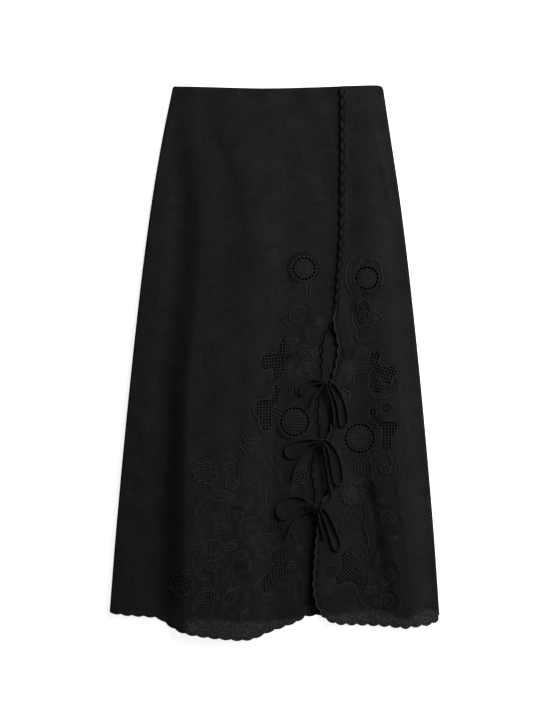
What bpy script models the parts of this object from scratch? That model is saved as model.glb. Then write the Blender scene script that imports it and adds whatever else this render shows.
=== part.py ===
"""A-line midi skirt of black linen, laid flat with its front up.

The back lies on the surface. The front is two panels: the right one laps over the left from
the waist down to a slit, and three bows of fabric tube tie the slit. +Y points to the waist,
+X to the viewer's right and +Z up. The origin is at the middle of the underside.

The tables are in millimetres. x is across the skirt, and drop is down it from the waist.
"""

import math

import bpy
from mathutils import Vector, kdtree
from mathutils.geometry import delaunay_2d_cdt

MM = 0.001

# Cloth and its layers
WAIST_Y = 444.4
WALL = 1.0
SEAM_GAP = 0.3
BACK_INSET = 0.7
BACK_WAIST_DROP = 3.0
GRID = 21.0
GRID_CLEARANCE = 0.45

# Buttonhole-stitched scallops on the hem and on the open edges
HEM_PITCH = 18.6
SLIT_PITCH = 17.2
HEM_DEPTH = 2.2
SLIT_DEPTH = 3.2
SCALLOP_STEPS = 4

# Tubes of fabric that tie the slit, and their knots
TIE_DIAMETER = 3.0
TIE_STEP = 6.0
TIE_CLEARANCE = 0.7
KNOT_SIZE = (8.0, 9.2, 6.8)
KNOT_RISE = 6.0
KNOT_REACH = 14.0
ROOT_RISE = 2.7
ROOT_GAP = 0.5
LOOP_RISE = 0.8
TAIL_FALL = -0.9

# drop, x of the left seam, x of the right seam
SIDE_SEAMS = (
    (0.0, -162.0, 173.0),
    (90.0, -180.2, 186.6),
    (190.0, -196.8, 201.5),
    (315.0, -213.3, 216.8),
    (505.0, -233.9, 236.2),
    (700.0, -252.2, 253.3),
    (850.0, -264.2, 263.9),
)

# x, drop of the top edge, which sags a little in the middle
WAIST = (
    (-162.0, 1.6), (-135.0, 2.2), (-72.0, 4.0), (-19.0, 5.0), (57.0, 3.4),
    (110.0, 1.4), (160.0, 0.0), (169.0, 0.4), (172.6, 2.6),
)

# x, drop of each hem, from left to right
LEFT_HEM = (
    (-263.8, 843.0), (-240.0, 847.0), (-202.0, 850.0), (-185.0, 853.5), (-172.0, 862.0),
    (-158.0, 870.0), (-139.0, 876.5), (-108.0, 882.0), (-77.0, 885.5), (-53.0, 887.0),
    (-33.0, 884.5), (-10.0, 875.0), (15.0, 866.0), (38.0, 857.0), (50.0, 848.0),
)
RIGHT_HEM = (
    (89.0, 857.0), (103.0, 861.5), (141.0, 863.0), (182.0, 865.0), (207.0, 867.5),
    (221.0, 865.5), (249.0, 862.0), (259.0, 857.0), (263.4, 849.0),
)
BACK_HEM = (
    (-263.0, 840.0), (-198.0, 847.0), (-118.0, 852.0), (-22.0, 855.0), (61.0, 848.5),
    (113.0, 843.0), (162.0, 838.0), (185.0, 844.0), (208.0, 852.0), (230.0, 844.0),
    (249.0, 838.0), (262.5, 841.0),
)

# drop, x of the front panels' open edges, from the waist down to the hem
LEFT_EDGE = (
    (3.0, 130.0), (120.0, 130.0), (250.0, 128.0), (320.0, 118.0), (353.0, 107.0),
    (380.0, 92.0), (405.0, 79.0), (441.0, 75.5), (478.0, 75.0), (522.0, 69.5),
    (562.0, 72.0), (585.0, 65.5), (604.0, 60.5), (625.0, 60.0), (657.0, 64.5),
    (700.0, 58.5), (790.0, 56.0), (833.0, 53.5),
)
RIGHT_EDGE = (
    (2.0, 105.0), (105.0, 105.5), (213.0, 104.5), (265.0, 103.0), (354.0, 96.0),
    (380.0, 94.5), (413.0, 101.5), (432.0, 100.5), (450.0, 97.0), (476.0, 91.5),
    (522.0, 94.0), (542.0, 91.5), (578.0, 81.5), (596.0, 84.0), (630.0, 90.0),
    (653.0, 85.0), (668.0, 75.5), (695.0, 71.0), (727.0, 66.5), (783.0, 62.5),
    (805.0, 62.0), (828.0, 66.0), (849.0, 77.0),
)
LAP_STARTS_AT = 340.0

# Folds: each row is a crest or a trough that runs down a front panel, with its x and its height
# over the back at each of FOLD_DROPS
FOLD_DROPS = (0.0, 100.0, 200.0, 320.0, 440.0, 560.0, 700.0, 885.0)
LEFT_FOLDS = (
    ("side seam", (-163, -182, -198, -214, -227, -240, -252, -263),
     (0.2, 2.0, 3.4, 4.8, 5.4, 5.8, 5.8, 4.4)),
    ("side crest", (-161, -173, -181, -190, -199, -208, -216, -224),
     (0.2, 1.4, 3.6, 4.8, 5.4, 5.8, 5.8, 4.4)),
    ("side trough", (-158, -160, -152, -156, -169, -176, -180, -179),
     (0.2, 0.2, 0.0, 0.0, 0.0, 0.0, 0.0, 0.0)),
    ("billow shoulder", (-128, -126, -115, -118, -132, -138, -140, -140),
     (1.6, 4.8, 8.4, 10.4, 14.0, 17.0, 18.0, 13.6)),
    ("billow dip", (-116, -100, -76, -84, -94, -98, -102, -100),
     (1.6, 3.8, 6.8, 9.2, 12.6, 14.8, 15.6, 11.8)),
    ("billow crest", (-92, -66, -38, -40, -48, -52, -58, -60),
     (2.6, 6.0, 9.6, 10.8, 11.4, 11.8, 11.6, 8.8)),
    ("soft hollow", (40, 40, 40, 26, 8, 2, -2, 0),
     (1.4, 1.6, 1.8, 2.0, 1.8, 1.8, 2.4, 2.0)),
    ("slit side", (88, 88, 86, 80, 70, 62, 54, 52),
     (0.0, 0.0, 0.0, 0.0, 3.0, 3.4, 2.4, 1.2)),
)
RIGHT_FOLDS = (
    ("slit side", (105, 105, 104, 98, 97, 88, 70, 62), (2.4, 2.8, 2.8, 3.0, 3.2, 4.0, 7.0, 6.0)),
    ("trough", (114, 114, 114, 122, 126, 126, 134, 152), (2.4, 2.6, 2.6, 2.4, 2.0, 1.6, 1.0, 0.8)),
    ("crest", (146, 146, 148, 158, 178, 192, 206, 222), (2.2, 4.6, 5.6, 5.8, 7.0, 8.4, 10.0, 7.6)),
    ("side seam", (173, 188, 202, 217, 229, 241, 253, 264), (0.0, 0.2, 0.2, 0.2, 0.2, 0.2, 0.2, 0.2)),
)

# Rings of cutwork: x, drop, radius of the middle of the holes, number of holes
LEFT_RINGS = ((47.0, 293.6, 17.0, 18), (31.8, 538.4, 21.8, 23))
RIGHT_RINGS = ((147.4, 309.0, 17.2, 18), (135.6, 565.0, 22.3, 23))
HOLE_WIDTH = 4.4
BAR_WIDTH = 1.7

# Bows: the knot, and the routes of its tubes as x, drop, which lie on the cloth
BOWS = {
    "bow1": {
        "knot": (81.0, 474.5),
        "loop_left": (
            (76.6, 472.6), (62.5, 471.0), (53.5, 473.5), (45.5, 480.5), (40.0, 487.5),
            (39.0, 493.5), (43.5, 497.0), (49.5, 493.5), (54.0, 487.0), (59.5, 481.0),
            (67.0, 477.6), (76.6, 476.4),
        ),
        "tail_left": (
            (78.6, 479.7), (72.0, 488.0), (65.5, 495.0), (60.0, 505.0), (57.0, 515.0),
        ),
        "loop_right": (
            (86.0, 472.6), (94.5, 477.0), (102.5, 488.0), (109.5, 501.5), (114.0, 516.0),
            (116.5, 529.0), (116.0, 540.0), (110.0, 547.0), (104.0, 543.0),
            (102.8, 533.5), (101.5, 521.0), (98.5, 506.5), (92.5, 491.0), (85.8, 476.8),
        ),
        "tail_right": (
            (83.2, 479.7), (86.0, 490.5), (90.0, 503.0), (93.0, 517.5), (94.5, 532.0),
            (95.5, 545.0),
        ),
    },
    "bow2": {
        "knot": (74.5, 569.0),
        "loop_left": (
            (70.1, 567.0), (59.0, 566.0), (48.0, 567.0), (35.0, 569.0), (25.0, 573.0),
            (18.0, 580.0), (16.0, 587.5), (20.5, 595.0), (28.5, 597.0), (36.0, 593.5),
            (41.5, 586.5), (46.5, 580.5), (54.0, 575.0), (62.0, 571.8), (70.1, 570.9),
        ),
        "tail_left": (
            (72.0, 574.2), (61.5, 579.5), (51.5, 586.5), (43.5, 595.0), (37.5, 603.5),
            (33.0, 613.5), (29.0, 625.0), (26.5, 635.0),
        ),
        "loop_right": (
            (78.9, 567.0), (87.0, 569.5), (95.0, 578.5), (101.5, 591.0), (106.0, 605.0),
            (108.5, 618.5), (109.0, 630.5), (104.5, 639.0), (98.0, 639.5),
            (94.0, 631.0), (92.0, 619.0), (90.0, 605.5), (87.5, 592.0), (84.0, 580.0),
            (78.9, 571.0),
        ),
        "tail_right": (
            (76.8, 574.2), (79.0, 588.0), (81.0, 601.0), (83.5, 613.5), (85.5, 626.5),
            (87.5, 639.0), (90.0, 650.5), (92.0, 657.5),
        ),
    },
    "bow3": {
        "knot": (66.5, 673.5),
        "loop_left": (
            (62.1, 675.5), (53.0, 672.6), (45.5, 673.5), (37.5, 678.5), (29.5, 685.5),
            (22.5, 692.0), (15.0, 695.0), (7.5, 693.0), (2.8, 686.5), (2.5, 677.5),
            (6.5, 669.0), (13.5, 662.5), (22.5, 659.0), (32.0, 658.0), (41.5, 659.2),
            (49.5, 662.5), (55.5, 667.0), (62.1, 671.5),
        ),
        "tail_left": (
            (64.0, 678.7), (54.5, 682.0), (45.0, 686.0), (36.0, 691.5), (29.0, 699.0),
            (24.0, 708.0), (20.0, 717.5), (17.0, 728.0),
        ),
        "loop_right": (
            (71.8, 671.6), (79.0, 676.5), (87.0, 688.0), (93.5, 701.0), (99.0, 714.5),
            (103.5, 727.0), (106.0, 736.5), (102.0, 744.0), (95.0, 742.5),
            (91.0, 733.0), (87.5, 720.0), (83.0, 706.5), (78.0, 691.0), (71.6, 675.8),
        ),
        "tail_right": (
            (68.8, 678.7), (70.5, 692.0), (73.0, 705.0), (76.0, 717.0), (79.0, 727.0),
        ),
    },
}


def ease(t):
    """Smooth step from 0 to 1."""
    t = min(max(t, 0.0), 1.0)
    return t * t * (3.0 - 2.0 * t)


def along(rows, at, column):
    """Value of a table's column at a place in its first column, on a smooth curve."""
    spans = range(len(rows) - 1)
    i = next((k for k in spans if at <= rows[k + 1][0]), len(rows) - 2)
    start, end = rows[i], rows[i + 1]
    before, after = rows[max(i - 1, 0)], rows[min(i + 2, len(rows) - 1)]
    span = end[0] - start[0]
    slope_in = (end[column] - before[column]) / (end[0] - before[0]) * span
    slope_out = (after[column] - start[column]) / (after[0] - start[0]) * span
    t = min(max((at - start[0]) / span, 0.0), 1.0)
    return (
        (2 * t**3 - 3 * t**2 + 1) * start[column] + (t**3 - 2 * t**2 + t) * slope_in
        + (3 * t**2 - 2 * t**3) * end[column] + (t**3 - t**2) * slope_out
    )


def smooth_path(points, step):
    """Points about a step apart on a smooth curve through the given ones."""
    points = [Vector(p) for p in points]
    fine = []
    for i in range(len(points) - 1):
        p0, p1 = points[max(i - 1, 0)], points[i]
        p2, p3 = points[i + 1], points[min(i + 2, len(points) - 1)]
        for k in range(12):
            t = k / 12
            fine.append(0.5 * (2 * p1 + (p2 - p0) * t + (2 * p0 - 5 * p1 + 4 * p2 - p3) * t**2
                               + (3 * p1 - p0 - 3 * p2 + p3) * t**3))
    fine.append(points[-1])
    lengths = [0.0]
    for a, b in zip(fine, fine[1:]):
        lengths.append(lengths[-1] + (b - a).length)
    count = max(1, round(lengths[-1] / step))
    even, i = [], 0
    for k in range(count + 1):
        target = lengths[-1] * k / count
        while i < len(fine) - 2 and lengths[i + 1] < target:
            i += 1
        t = (target - lengths[i]) / (lengths[i + 1] - lengths[i])
        even.append(fine[i].lerp(fine[i + 1], t))
    return even


def scalloped(points, pitch, depth):
    """An edge of small arches. The cloth lies on the left of the way that it runs."""
    length = sum((b - a).length for a, b in zip(points, points[1:]))
    arches = round(length / pitch)
    line = smooth_path(points, length / (arches * SCALLOP_STEPS))
    edge = []
    for i, point in enumerate(line):
        way = (line[min(i + 1, len(line) - 1)] - line[max(i - 1, 0)]).normalized()
        swell = math.sin(math.pi * (i % SCALLOP_STEPS) / SCALLOP_STEPS) - 0.5
        edge.append(point + Vector((way.y, -way.x)) * depth * swell)
    return edge


def placed(rows):
    """Plane points for rows of x and drop."""
    return [Vector((x, WAIST_Y - drop)) for x, drop in rows]


def edge_rows(edge):
    """Rows of x and drop for rows of drop and x."""
    return [(x, drop) for drop, x in edge]


def seam(column, top, bottom, inset=0.0):
    """Side seam from one drop to another, drawn in by an inset."""
    steps = 20
    rows = []
    for i in range(steps + 1):
        drop = top + (bottom - top) * i / steps
        x = along(SIDE_SEAMS, drop, column)
        rows.append((x - math.copysign(inset, x), drop))
    return placed(rows)


def waist_line(x_from, x_to, lower=0.0):
    """Top edge between two places."""
    steps = max(4, round(abs(x_to - x_from) / GRID))
    spots = [x_from + (x_to - x_from) * i / steps for i in range(steps + 1)]
    return placed([(x, along(WAIST, x, 1) + lower) for x in spots])


def fold_height(folds, x, drop):
    """Height of a front panel over the back: each fold eases into the next across the cloth."""
    lines = []
    for _, places, heights in folds:
        rows = tuple(zip(FOLD_DROPS, places, heights))
        lines.append((along(rows, drop, 1), along(rows, drop, 2)))
    if x <= lines[0][0]:
        return lines[0][1]
    for (x0, h0), (x1, h1) in zip(lines, lines[1:]):
        if x <= x1:
            return h0 + (h1 - h0) * ease((x - x0) / (x1 - x0))
    return lines[-1][1]


def panel_height(folds, x, drop):
    """Height of a front panel's underside."""
    return WALL + SEAM_GAP + max(0.0, fold_height(folds, x, drop))


def ring_holes(rings):
    """Four corners of every hole in the cutwork rings."""
    holes = []
    for x, drop, radius, count in rings:
        half_turn = math.pi / count * (1.0 - BAR_WIDTH * count / (2 * math.pi * radius))
        for k in range(count):
            middle = 2 * math.pi * k / count
            corners = []
            for side, reach in ((-1, -0.5), (1, -0.5), (1, 0.5), (-1, 0.5)):
                turn = middle + side * half_turn
                out = radius + reach * HOLE_WIDTH
                corners.append(Vector((x + out * math.cos(turn),
                                       WAIST_Y - drop + out * math.sin(turn))))
            holes.append(corners)
    return holes


def inside(point, outline):
    """Whether a plane point lies in an outline."""
    odd = False
    for a, b in zip(outline, outline[1:] + outline[:1]):
        if (a.y > point.y) != (b.y > point.y):
            if point.x < a.x + (b.x - a.x) * (point.y - a.y) / (b.y - a.y):
                odd = not odd
    return odd


def inner_grid(outline, holes):
    """Even points inside an outline, clear of its edge and of the holes."""
    border = []
    for loop in [outline] + holes:
        for a, b in zip(loop, loop[1:] + loop[:1]):
            parts = max(1, round((b - a).length / (GRID / 4)))
            border += [a.lerp(b, k / parts) for k in range(parts)]
    tree = kdtree.KDTree(len(border))
    for i, point in enumerate(border):
        tree.insert(point.to_3d(), i)
    tree.balance()
    left, right = min(p.x for p in outline), max(p.x for p in outline)
    bottom, top = min(p.y for p in outline), max(p.y for p in outline)
    row_gap = GRID * math.sin(math.pi / 3)
    points = []
    for row in range(int((top - bottom) / row_gap) + 1):
        y = bottom + row * row_gap
        for k in range(int((right - left) / GRID) + 2):
            point = Vector((left + (k - 0.5 * (row % 2)) * GRID, y))
            if inside(point, outline):
                if tree.find(point.to_3d())[2] > GRID * GRID_CLEARANCE:
                    points.append(point)
    return points


def cloth_material(name, colour, roughness):
    """Dull woven cloth."""
    material = bpy.data.materials.new(name)
    material.use_nodes = True
    shader = material.node_tree.nodes["Principled BSDF"]
    shader.inputs["Base Color"].default_value = (*colour, 1.0)
    shader.inputs["Roughness"].default_value = roughness
    material.diffuse_color = (*colour, 1.0)
    return material


def cloth_panel(name, outline, holes, height, material, collection):
    """A wall of cloth: an outline with holes is filled, raised to its folds and thickened."""
    loops = [outline] + holes
    points, edges, owner = [], [], []
    for number, loop in enumerate(loops):
        first = len(points)
        points += loop
        owner += [number] * len(loop)
        edges += [(first + i, first + (i + 1) % len(loop)) for i in range(len(loop))]
    points += inner_grid(outline, holes)
    owner += [-1] * (len(points) - len(owner))
    inside_only = 1
    verts, _, faces, sources, _, _ = delaunay_2d_cdt(points, edges, [], inside_only, 1e-5)
    owners = [owner[source[0]] if source else -1 for source in sources]
    kept = []
    for face in faces:
        hole = owners[face[0]]
        if hole < 1 or any(owners[i] != hole for i in face):
            kept.append(face)
    mesh = bpy.data.meshes.new(name)
    raised = [(p.x * MM, p.y * MM, height(p.x, WAIST_Y - p.y) * MM) for p in verts]
    mesh.from_pydata(raised, [], kept)
    mesh.update()
    mesh.materials.append(material)
    panel = bpy.data.objects.new(name, mesh)
    collection.objects.link(panel)
    wall = panel.modifiers.new("cloth thickness", "SOLIDIFY")
    wall.thickness = WALL * MM
    wall.offset = 1.0
    return panel


def back_panel(material, collection):
    """The back: flat on the surface, seen only in the slit and under the hem."""
    hem = placed(BACK_HEM)
    hem[0].x += BACK_INSET
    hem[-1].x -= BACK_INSET
    outline = seam(1, BACK_WAIST_DROP + 1.0, 834.0, BACK_INSET)
    outline += scalloped(hem, HEM_PITCH, HEM_DEPTH)
    outline += seam(2, 835.0, BACK_WAIST_DROP + 3.0, BACK_INSET)
    outline += waist_line(168.0, -160.0, BACK_WAIST_DROP)
    cloth_panel("back_panel", outline, [], lambda x, drop: 0.0, material, collection)


def left_front(material, collection):
    """The front's left panel, whose upper edge is hidden under the lap."""
    shown = [row for row in LEFT_EDGE if row[0] >= LAP_STARTS_AT]
    hidden = [row for row in LEFT_EDGE if row[0] <= LAP_STARTS_AT]
    outline = seam(1, 4.0, 836.0)
    outline += scalloped(placed(LEFT_HEM), HEM_PITCH, HEM_DEPTH)
    outline += scalloped(placed(edge_rows(reversed(shown))), SLIT_PITCH, SLIT_DEPTH)
    outline += smooth_path(placed(edge_rows(reversed(hidden))), GRID)[:-1]
    outline += waist_line(LEFT_EDGE[0][1], -160.5)
    cloth_panel("front_left_panel", outline, ring_holes(LEFT_RINGS),
                lambda x, drop: panel_height(LEFT_FOLDS, x, drop), material, collection)


def right_front(material, collection):
    """The front's right panel, which laps over the left one down to the slit."""
    edge = placed(edge_rows(RIGHT_EDGE)) + placed(RIGHT_HEM)
    outline = scalloped(edge, SLIT_PITCH, SLIT_DEPTH)
    outline += seam(2, 843.0, 7.0)
    outline += waist_line(171.5, RIGHT_EDGE[0][1] + SLIT_DEPTH)
    cloth_panel("front_right_panel", outline, ring_holes(RIGHT_RINGS),
                lambda x, drop: panel_height(RIGHT_FOLDS, x, drop), material, collection)


def cloth_top(x, drop):
    """Height of the front's upper side, carried across the open slit."""
    left_edge = along(LEFT_EDGE, drop, 1)
    right_edge = along(RIGHT_EDGE, drop, 1) - 2 * SLIT_DEPTH
    left = panel_height(LEFT_FOLDS, min(x, left_edge), drop) + WALL
    right = panel_height(RIGHT_FOLDS, max(x, right_edge), drop) + WALL
    return left + (right - left) * ease((x - left_edge) / max(1.0, right_edge - left_edge))


def edge_height(folds, edge, drop):
    """How far an edge of the slit is lifted at a drop."""
    return max(0.0, fold_height(folds, along(edge, drop, 1), drop))


def knot_middle(drop):
    """Height of a knot, which sits over the higher of the slit's two edges."""
    return KNOT_RISE + max(edge_height(LEFT_FOLDS, LEFT_EDGE, drop),
                           edge_height(RIGHT_FOLDS, RIGHT_EDGE, drop))


def tie_tube(name, route, knot, rise, material, collection):
    """A tube of fabric that comes out of the knot and lies on the cloth."""
    knot_x, knot_drop = knot
    knot_end = knot_middle(knot_drop) + rise
    points = []
    for spot in smooth_path(route, TIE_STEP):
        x, drop = spot
        near = (x - TIE_DIAMETER, x, x + TIE_DIAMETER)
        lie = max(cloth_top(at, drop) for at in near) + TIE_DIAMETER / 2 + TIE_CLEARANCE
        start = math.hypot(KNOT_SIZE[0], KNOT_SIZE[1]) / 2 - 1.0
        away = math.hypot(x - knot_x, drop - knot_drop) - start
        lift = ease(1.0 - away / KNOT_REACH)
        points.append((x, WAIST_Y - drop, lie + (knot_end - lie) * lift))
    curve = bpy.data.curves.new(name, "CURVE")
    curve.dimensions = "3D"
    curve.bevel_depth = TIE_DIAMETER / 2 * MM
    curve.bevel_resolution = 2
    curve.use_fill_caps = True
    spline = curve.splines.new("POLY")
    spline.points.add(len(points) - 1)
    for spline_point, point in zip(spline.points, points):
        spline_point.co = (*(value * MM for value in point), 1.0)
    curve.materials.append(material)
    collection.objects.link(bpy.data.objects.new(name, curve))


def rod(start, end):
    """A round bar between two places."""
    way = end - start
    bpy.ops.mesh.primitive_cylinder_add(
        vertices=8, radius=TIE_DIAMETER / 2 * MM, depth=way.length * MM,
        location=(start + end) / 2 * MM, rotation=way.to_track_quat("Z", "Y").to_euler())
    return bpy.context.object


def knot(name, place, material, collection):
    """The bow's knot, with the two roots that reach from it to the scalloped edges."""
    x, drop = place
    middle = Vector((x, WAIST_Y - drop, knot_middle(drop)))
    bpy.ops.mesh.primitive_uv_sphere_add(
        segments=14, ring_count=8, radius=0.5, location=middle * MM)
    ball = bpy.context.object
    ball.name = ball.data.name = name
    ball.scale = [size * MM for size in KNOT_SIZE]
    bpy.ops.object.transform_apply(location=False, rotation=True, scale=True)
    clear = SLIT_DEPTH / 2 + ROOT_GAP
    for folds, edge, gap in ((LEFT_FOLDS, LEFT_EDGE, clear), (RIGHT_FOLDS, RIGHT_EDGE, -clear)):
        sewn = Vector((along(edge, drop, 1) + gap, WAIST_Y - drop,
                       edge_height(folds, edge, drop) + ROOT_RISE))
        root = rod(sewn, middle)
        join = ball.modifiers.new("root", "BOOLEAN")
        join.operation = "UNION"
        join.solver = "EXACT"
        join.object = root
        bpy.context.view_layer.objects.active = ball
        bpy.ops.object.modifier_apply(modifier=join.name)
        bpy.data.objects.remove(root)
    ball.data.materials.clear()
    ball.data.materials.append(material)
    ball.data.shade_smooth()
    for other in ball.users_collection:
        other.objects.unlink(ball)
    collection.objects.link(ball)


def main():
    for old in list(bpy.data.objects):
        bpy.data.objects.remove(old)
    skirt = bpy.data.collections.new("a_line_skirt")
    bpy.context.scene.collection.children.link(skirt)
    linen = cloth_material("black linen", (0.012, 0.012, 0.013), 0.88)
    tube = cloth_material("black linen tube", (0.014, 0.014, 0.015), 0.85)
    back_panel(linen, skirt)
    left_front(linen, skirt)
    right_front(linen, skirt)
    for bow, pieces in BOWS.items():
        knot(bow + "_knot", pieces["knot"], tube, skirt)
        for piece, route in pieces.items():
            if piece != "knot":
                rise = LOOP_RISE if piece.startswith("loop") else TAIL_FALL
                tie_tube(bow + "_" + piece, route, pieces["knot"], rise, tube, skirt)


main()
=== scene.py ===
"""A-line midi skirt of black linen, laid flat with its front up.

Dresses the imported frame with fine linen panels, cutwork, net, satin embroidery and fabric ties.
Tables are in millimetres: x is across the skirt and drop is down it from the waist.
"""

import math

import bpy
import numpy as np
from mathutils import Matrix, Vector, kdtree
from mathutils.geometry import delaunay_2d_cdt


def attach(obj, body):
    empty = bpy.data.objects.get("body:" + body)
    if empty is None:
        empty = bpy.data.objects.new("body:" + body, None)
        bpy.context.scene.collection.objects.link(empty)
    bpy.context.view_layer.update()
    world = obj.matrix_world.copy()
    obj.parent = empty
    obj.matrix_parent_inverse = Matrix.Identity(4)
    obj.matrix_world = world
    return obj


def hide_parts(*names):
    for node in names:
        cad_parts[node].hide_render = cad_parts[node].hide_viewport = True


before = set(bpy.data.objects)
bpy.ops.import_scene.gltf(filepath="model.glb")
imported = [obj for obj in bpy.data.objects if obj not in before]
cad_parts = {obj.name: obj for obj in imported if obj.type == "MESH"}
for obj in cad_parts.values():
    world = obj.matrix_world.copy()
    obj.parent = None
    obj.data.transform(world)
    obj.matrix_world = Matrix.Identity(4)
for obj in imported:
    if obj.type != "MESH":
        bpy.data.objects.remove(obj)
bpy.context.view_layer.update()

bpy.ops.object.select_all(action="DESELECT")


# ---------------------------------------------------------------------------------------------
# The back: one panel of black linen, cut to the side seams, with a scalloped hem.
# It lies flat on the surface under both front panels, and shows only through the open slit,
# the cutwork and from behind.
# ---------------------------------------------------------------------------------------------

MM = 0.001
WAIST_Y = 444.4
WALL = 1.0
SEAM_GAP = 0.3
CLOTH = 0.6
BACK_INSET = 0.7
BACK_WAIST_DROP = 3.0
HEM_PITCH = 18.6
SLIT_PITCH = 17.2
HEM_DEPTH = 2.2
SLIT_DEPTH = 3.2
SCALLOP_STEPS = 4
SCALLOP_PARTS = 3
BACK_GRID = 6.0
# near-black of painted shade, for cloth deep under open work
PAINTED_SHADE_COLOUR = (0.0008, 0.0008, 0.0009)

# drop, x of the left seam, x of the right seam
SIDE_SEAMS = (
    (0, -162, 173), (90, -180.2, 186.6), (190, -196.8, 201.5), (315, -213.3, 216.8),
    (505, -233.9, 236.2), (700, -252.2, 253.3), (850, -264.2, 263.9),
)

# x, drop of the top edge
WAIST = (
    (-162, 1.6), (-135, 2.2), (-72, 4), (-19, 5), (57, 3.4), (110, 1.4), (160, 0), (169, 0.4),
    (172.6, 2.6),
)
BACK_HEM = (
    (-263, 840), (-198, 847), (-118, 852), (-22, 855), (61, 848.5), (113, 843), (162, 838),
    (185, 844), (208, 852), (230, 844), (249, 838), (262.5, 841),
)


def ease(t):
    """Smooth step from 0 to 1."""
    t = np.clip(t, 0.0, 1.0)
    return t * t * (3.0 - 2.0 * t)


def along(rows, at, column):
    """Values of a table's column at places in its first column, on a smooth curve."""
    table = np.array(rows, float)
    keys, values = table[:, 0], table[:, column]
    i = np.clip(np.searchsorted(keys, at) - 1, 0, len(keys) - 2)
    before, after = np.maximum(i - 1, 0), np.minimum(i + 2, len(keys) - 1)
    span = keys[i + 1] - keys[i]
    slope_in = (values[i + 1] - values[before]) / (keys[i + 1] - keys[before]) * span
    slope_out = (values[after] - values[i]) / (keys[after] - keys[i]) * span
    t = np.clip((at - keys[i]) / span, 0.0, 1.0)
    return ((2 * t**3 - 3 * t**2 + 1) * values[i] + (t**3 - 2 * t**2 + t) * slope_in
            + (3 * t**2 - 2 * t**3) * values[i + 1] + (t**3 - t**2) * slope_out)


def smooth_path(points, step=None, count=None, closed=False):
    """Even points on a smooth curve through the given ones."""
    points = np.array(points, float)
    n = len(points)
    if closed:
        i = np.arange(n)
        corners = [points[(i + k) % n] for k in (-1, 0, 1, 2)]
    else:
        i = np.arange(n - 1)
        corners = [points[np.clip(i + k, 0, n - 1)] for k in (-1, 0, 1, 2)]
    p0, p1, p2, p3 = (c[:, None, :] for c in corners)
    t = (np.arange(12) / 12)[None, :, None]
    fine = 0.5 * (2 * p1 + (p2 - p0) * t + (2 * p0 - 5 * p1 + 4 * p2 - p3) * t**2
                  + (3 * p1 - p0 - 3 * p2 + p3) * t**3)
    fine = fine.reshape(-1, points.shape[1])
    fine = np.vstack([fine, fine[:1] if closed else points[-1:]])
    lengths = np.concatenate([[0.0], np.cumsum(np.linalg.norm(np.diff(fine, axis=0), axis=1))])
    if count is None:
        count = max(3 if closed else 1, round(lengths[-1] / step))
    even = np.linspace(0.0, lengths[-1], count + 1)
    path = np.stack([np.interp(even, lengths, column) for column in fine.T], axis=1)
    return path[:-1] if closed else path


def path_length(points):
    """Length of a run of points."""
    return float(np.linalg.norm(np.diff(np.array(points, float), axis=0), axis=1).sum())


def sideways(line, closed=False):
    """Unit vectors to the right of a line's way."""
    if closed:
        way = np.roll(line, -1, axis=0) - np.roll(line, 1, axis=0)
    else:
        way = np.gradient(line, axis=0)
    way /= np.maximum(np.linalg.norm(way, axis=1), 1e-9)[:, None]
    return np.stack([way[:, 1], -way[:, 0]], axis=1)


def scalloped(points, pitch, depth, inset=0.0):
    """An edge of small arches, each SCALLOP_STEPS of SCALLOP_PARTS. The cloth lies on its left."""
    arches = round(path_length(points) / pitch)
    step = path_length(points) / (arches * SCALLOP_STEPS)
    coarse = len(smooth_path(points, step=step)) - 1
    line = smooth_path(points, count=coarse * SCALLOP_PARTS)
    turn = np.arange(len(line)) % (SCALLOP_STEPS * SCALLOP_PARTS)
    swell = np.sin(math.pi * turn / (SCALLOP_STEPS * SCALLOP_PARTS)) - 0.5
    return line + sideways(line) * (depth * swell - inset)[:, None]


def placed(rows):
    """Plane points for rows of x and drop."""
    return np.array([(x, WAIST_Y - drop) for x, drop in rows])


def seam(column, top, bottom, inset=0.0):
    """Side seam from one drop to another, drawn in by an inset."""
    drop = np.linspace(top, bottom, round(abs(bottom - top) / 8.0))
    x = along(SIDE_SEAMS, drop, column)
    return np.stack([x - np.sign(x) * inset, WAIST_Y - drop], axis=1)


def waist_line(x_from, x_to, lower=0.0):
    """Top edge between two places."""
    x = np.linspace(x_from, x_to, max(4, round(abs(x_to - x_from) / 6.0)))
    return np.stack([x, WAIST_Y - along(WAIST, x, 1) - lower], axis=1)


def inside(points, outline):
    """Which plane points lie in an outline."""
    odd = np.zeros(len(points), bool)
    x, y = points.T
    for a, b in zip(outline, np.roll(outline, -1, axis=0)):
        if a[1] != b[1]:
            crosses = (a[1] > y) != (b[1] > y)
            odd ^= crosses & (x < a[0] + (b[0] - a[0]) * (y - a[1]) / (b[1] - a[1]))
    return odd


def inner_grid(loops, step):
    """Even points inside the first loop, clear of every loop."""
    border = np.vstack([smooth_path(np.vstack([loop, loop[:1]]), step=step / 2)
                        for loop in loops])
    tree = kdtree.KDTree(len(border))
    for i, (x, y) in enumerate(border):
        tree.insert((x, y, 0.0), i)
    tree.balance()
    low, high = loops[0].min(axis=0), loops[0].max(axis=0)
    rows = np.arange(low[1], high[1], step * math.sin(math.pi / 3))
    columns = np.arange(low[0], high[0] + step, step)
    x, y = np.meshgrid(columns, rows)
    x = x - 0.5 * step * (np.arange(len(rows)) % 2)[:, None]
    grid = np.stack([x.ravel(), y.ravel()], axis=1)
    grid = grid[inside(grid, loops[0])]
    return [p for p in grid if tree.find((p[0], p[1], 0.0))[2] > step * 0.5]


def mesh_piece(name, spots, faces):
    """A piece of smooth faces over points in millimetres, on the part's one body."""
    mesh = bpy.data.meshes.new(name)
    mesh.from_pydata((spots * MM).tolist(), [], faces)
    mesh.update()
    mesh.shade_smooth()
    piece = bpy.data.objects.new(name, mesh)
    bpy.context.scene.collection.objects.link(piece)
    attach(piece, "root")
    return piece


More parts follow.
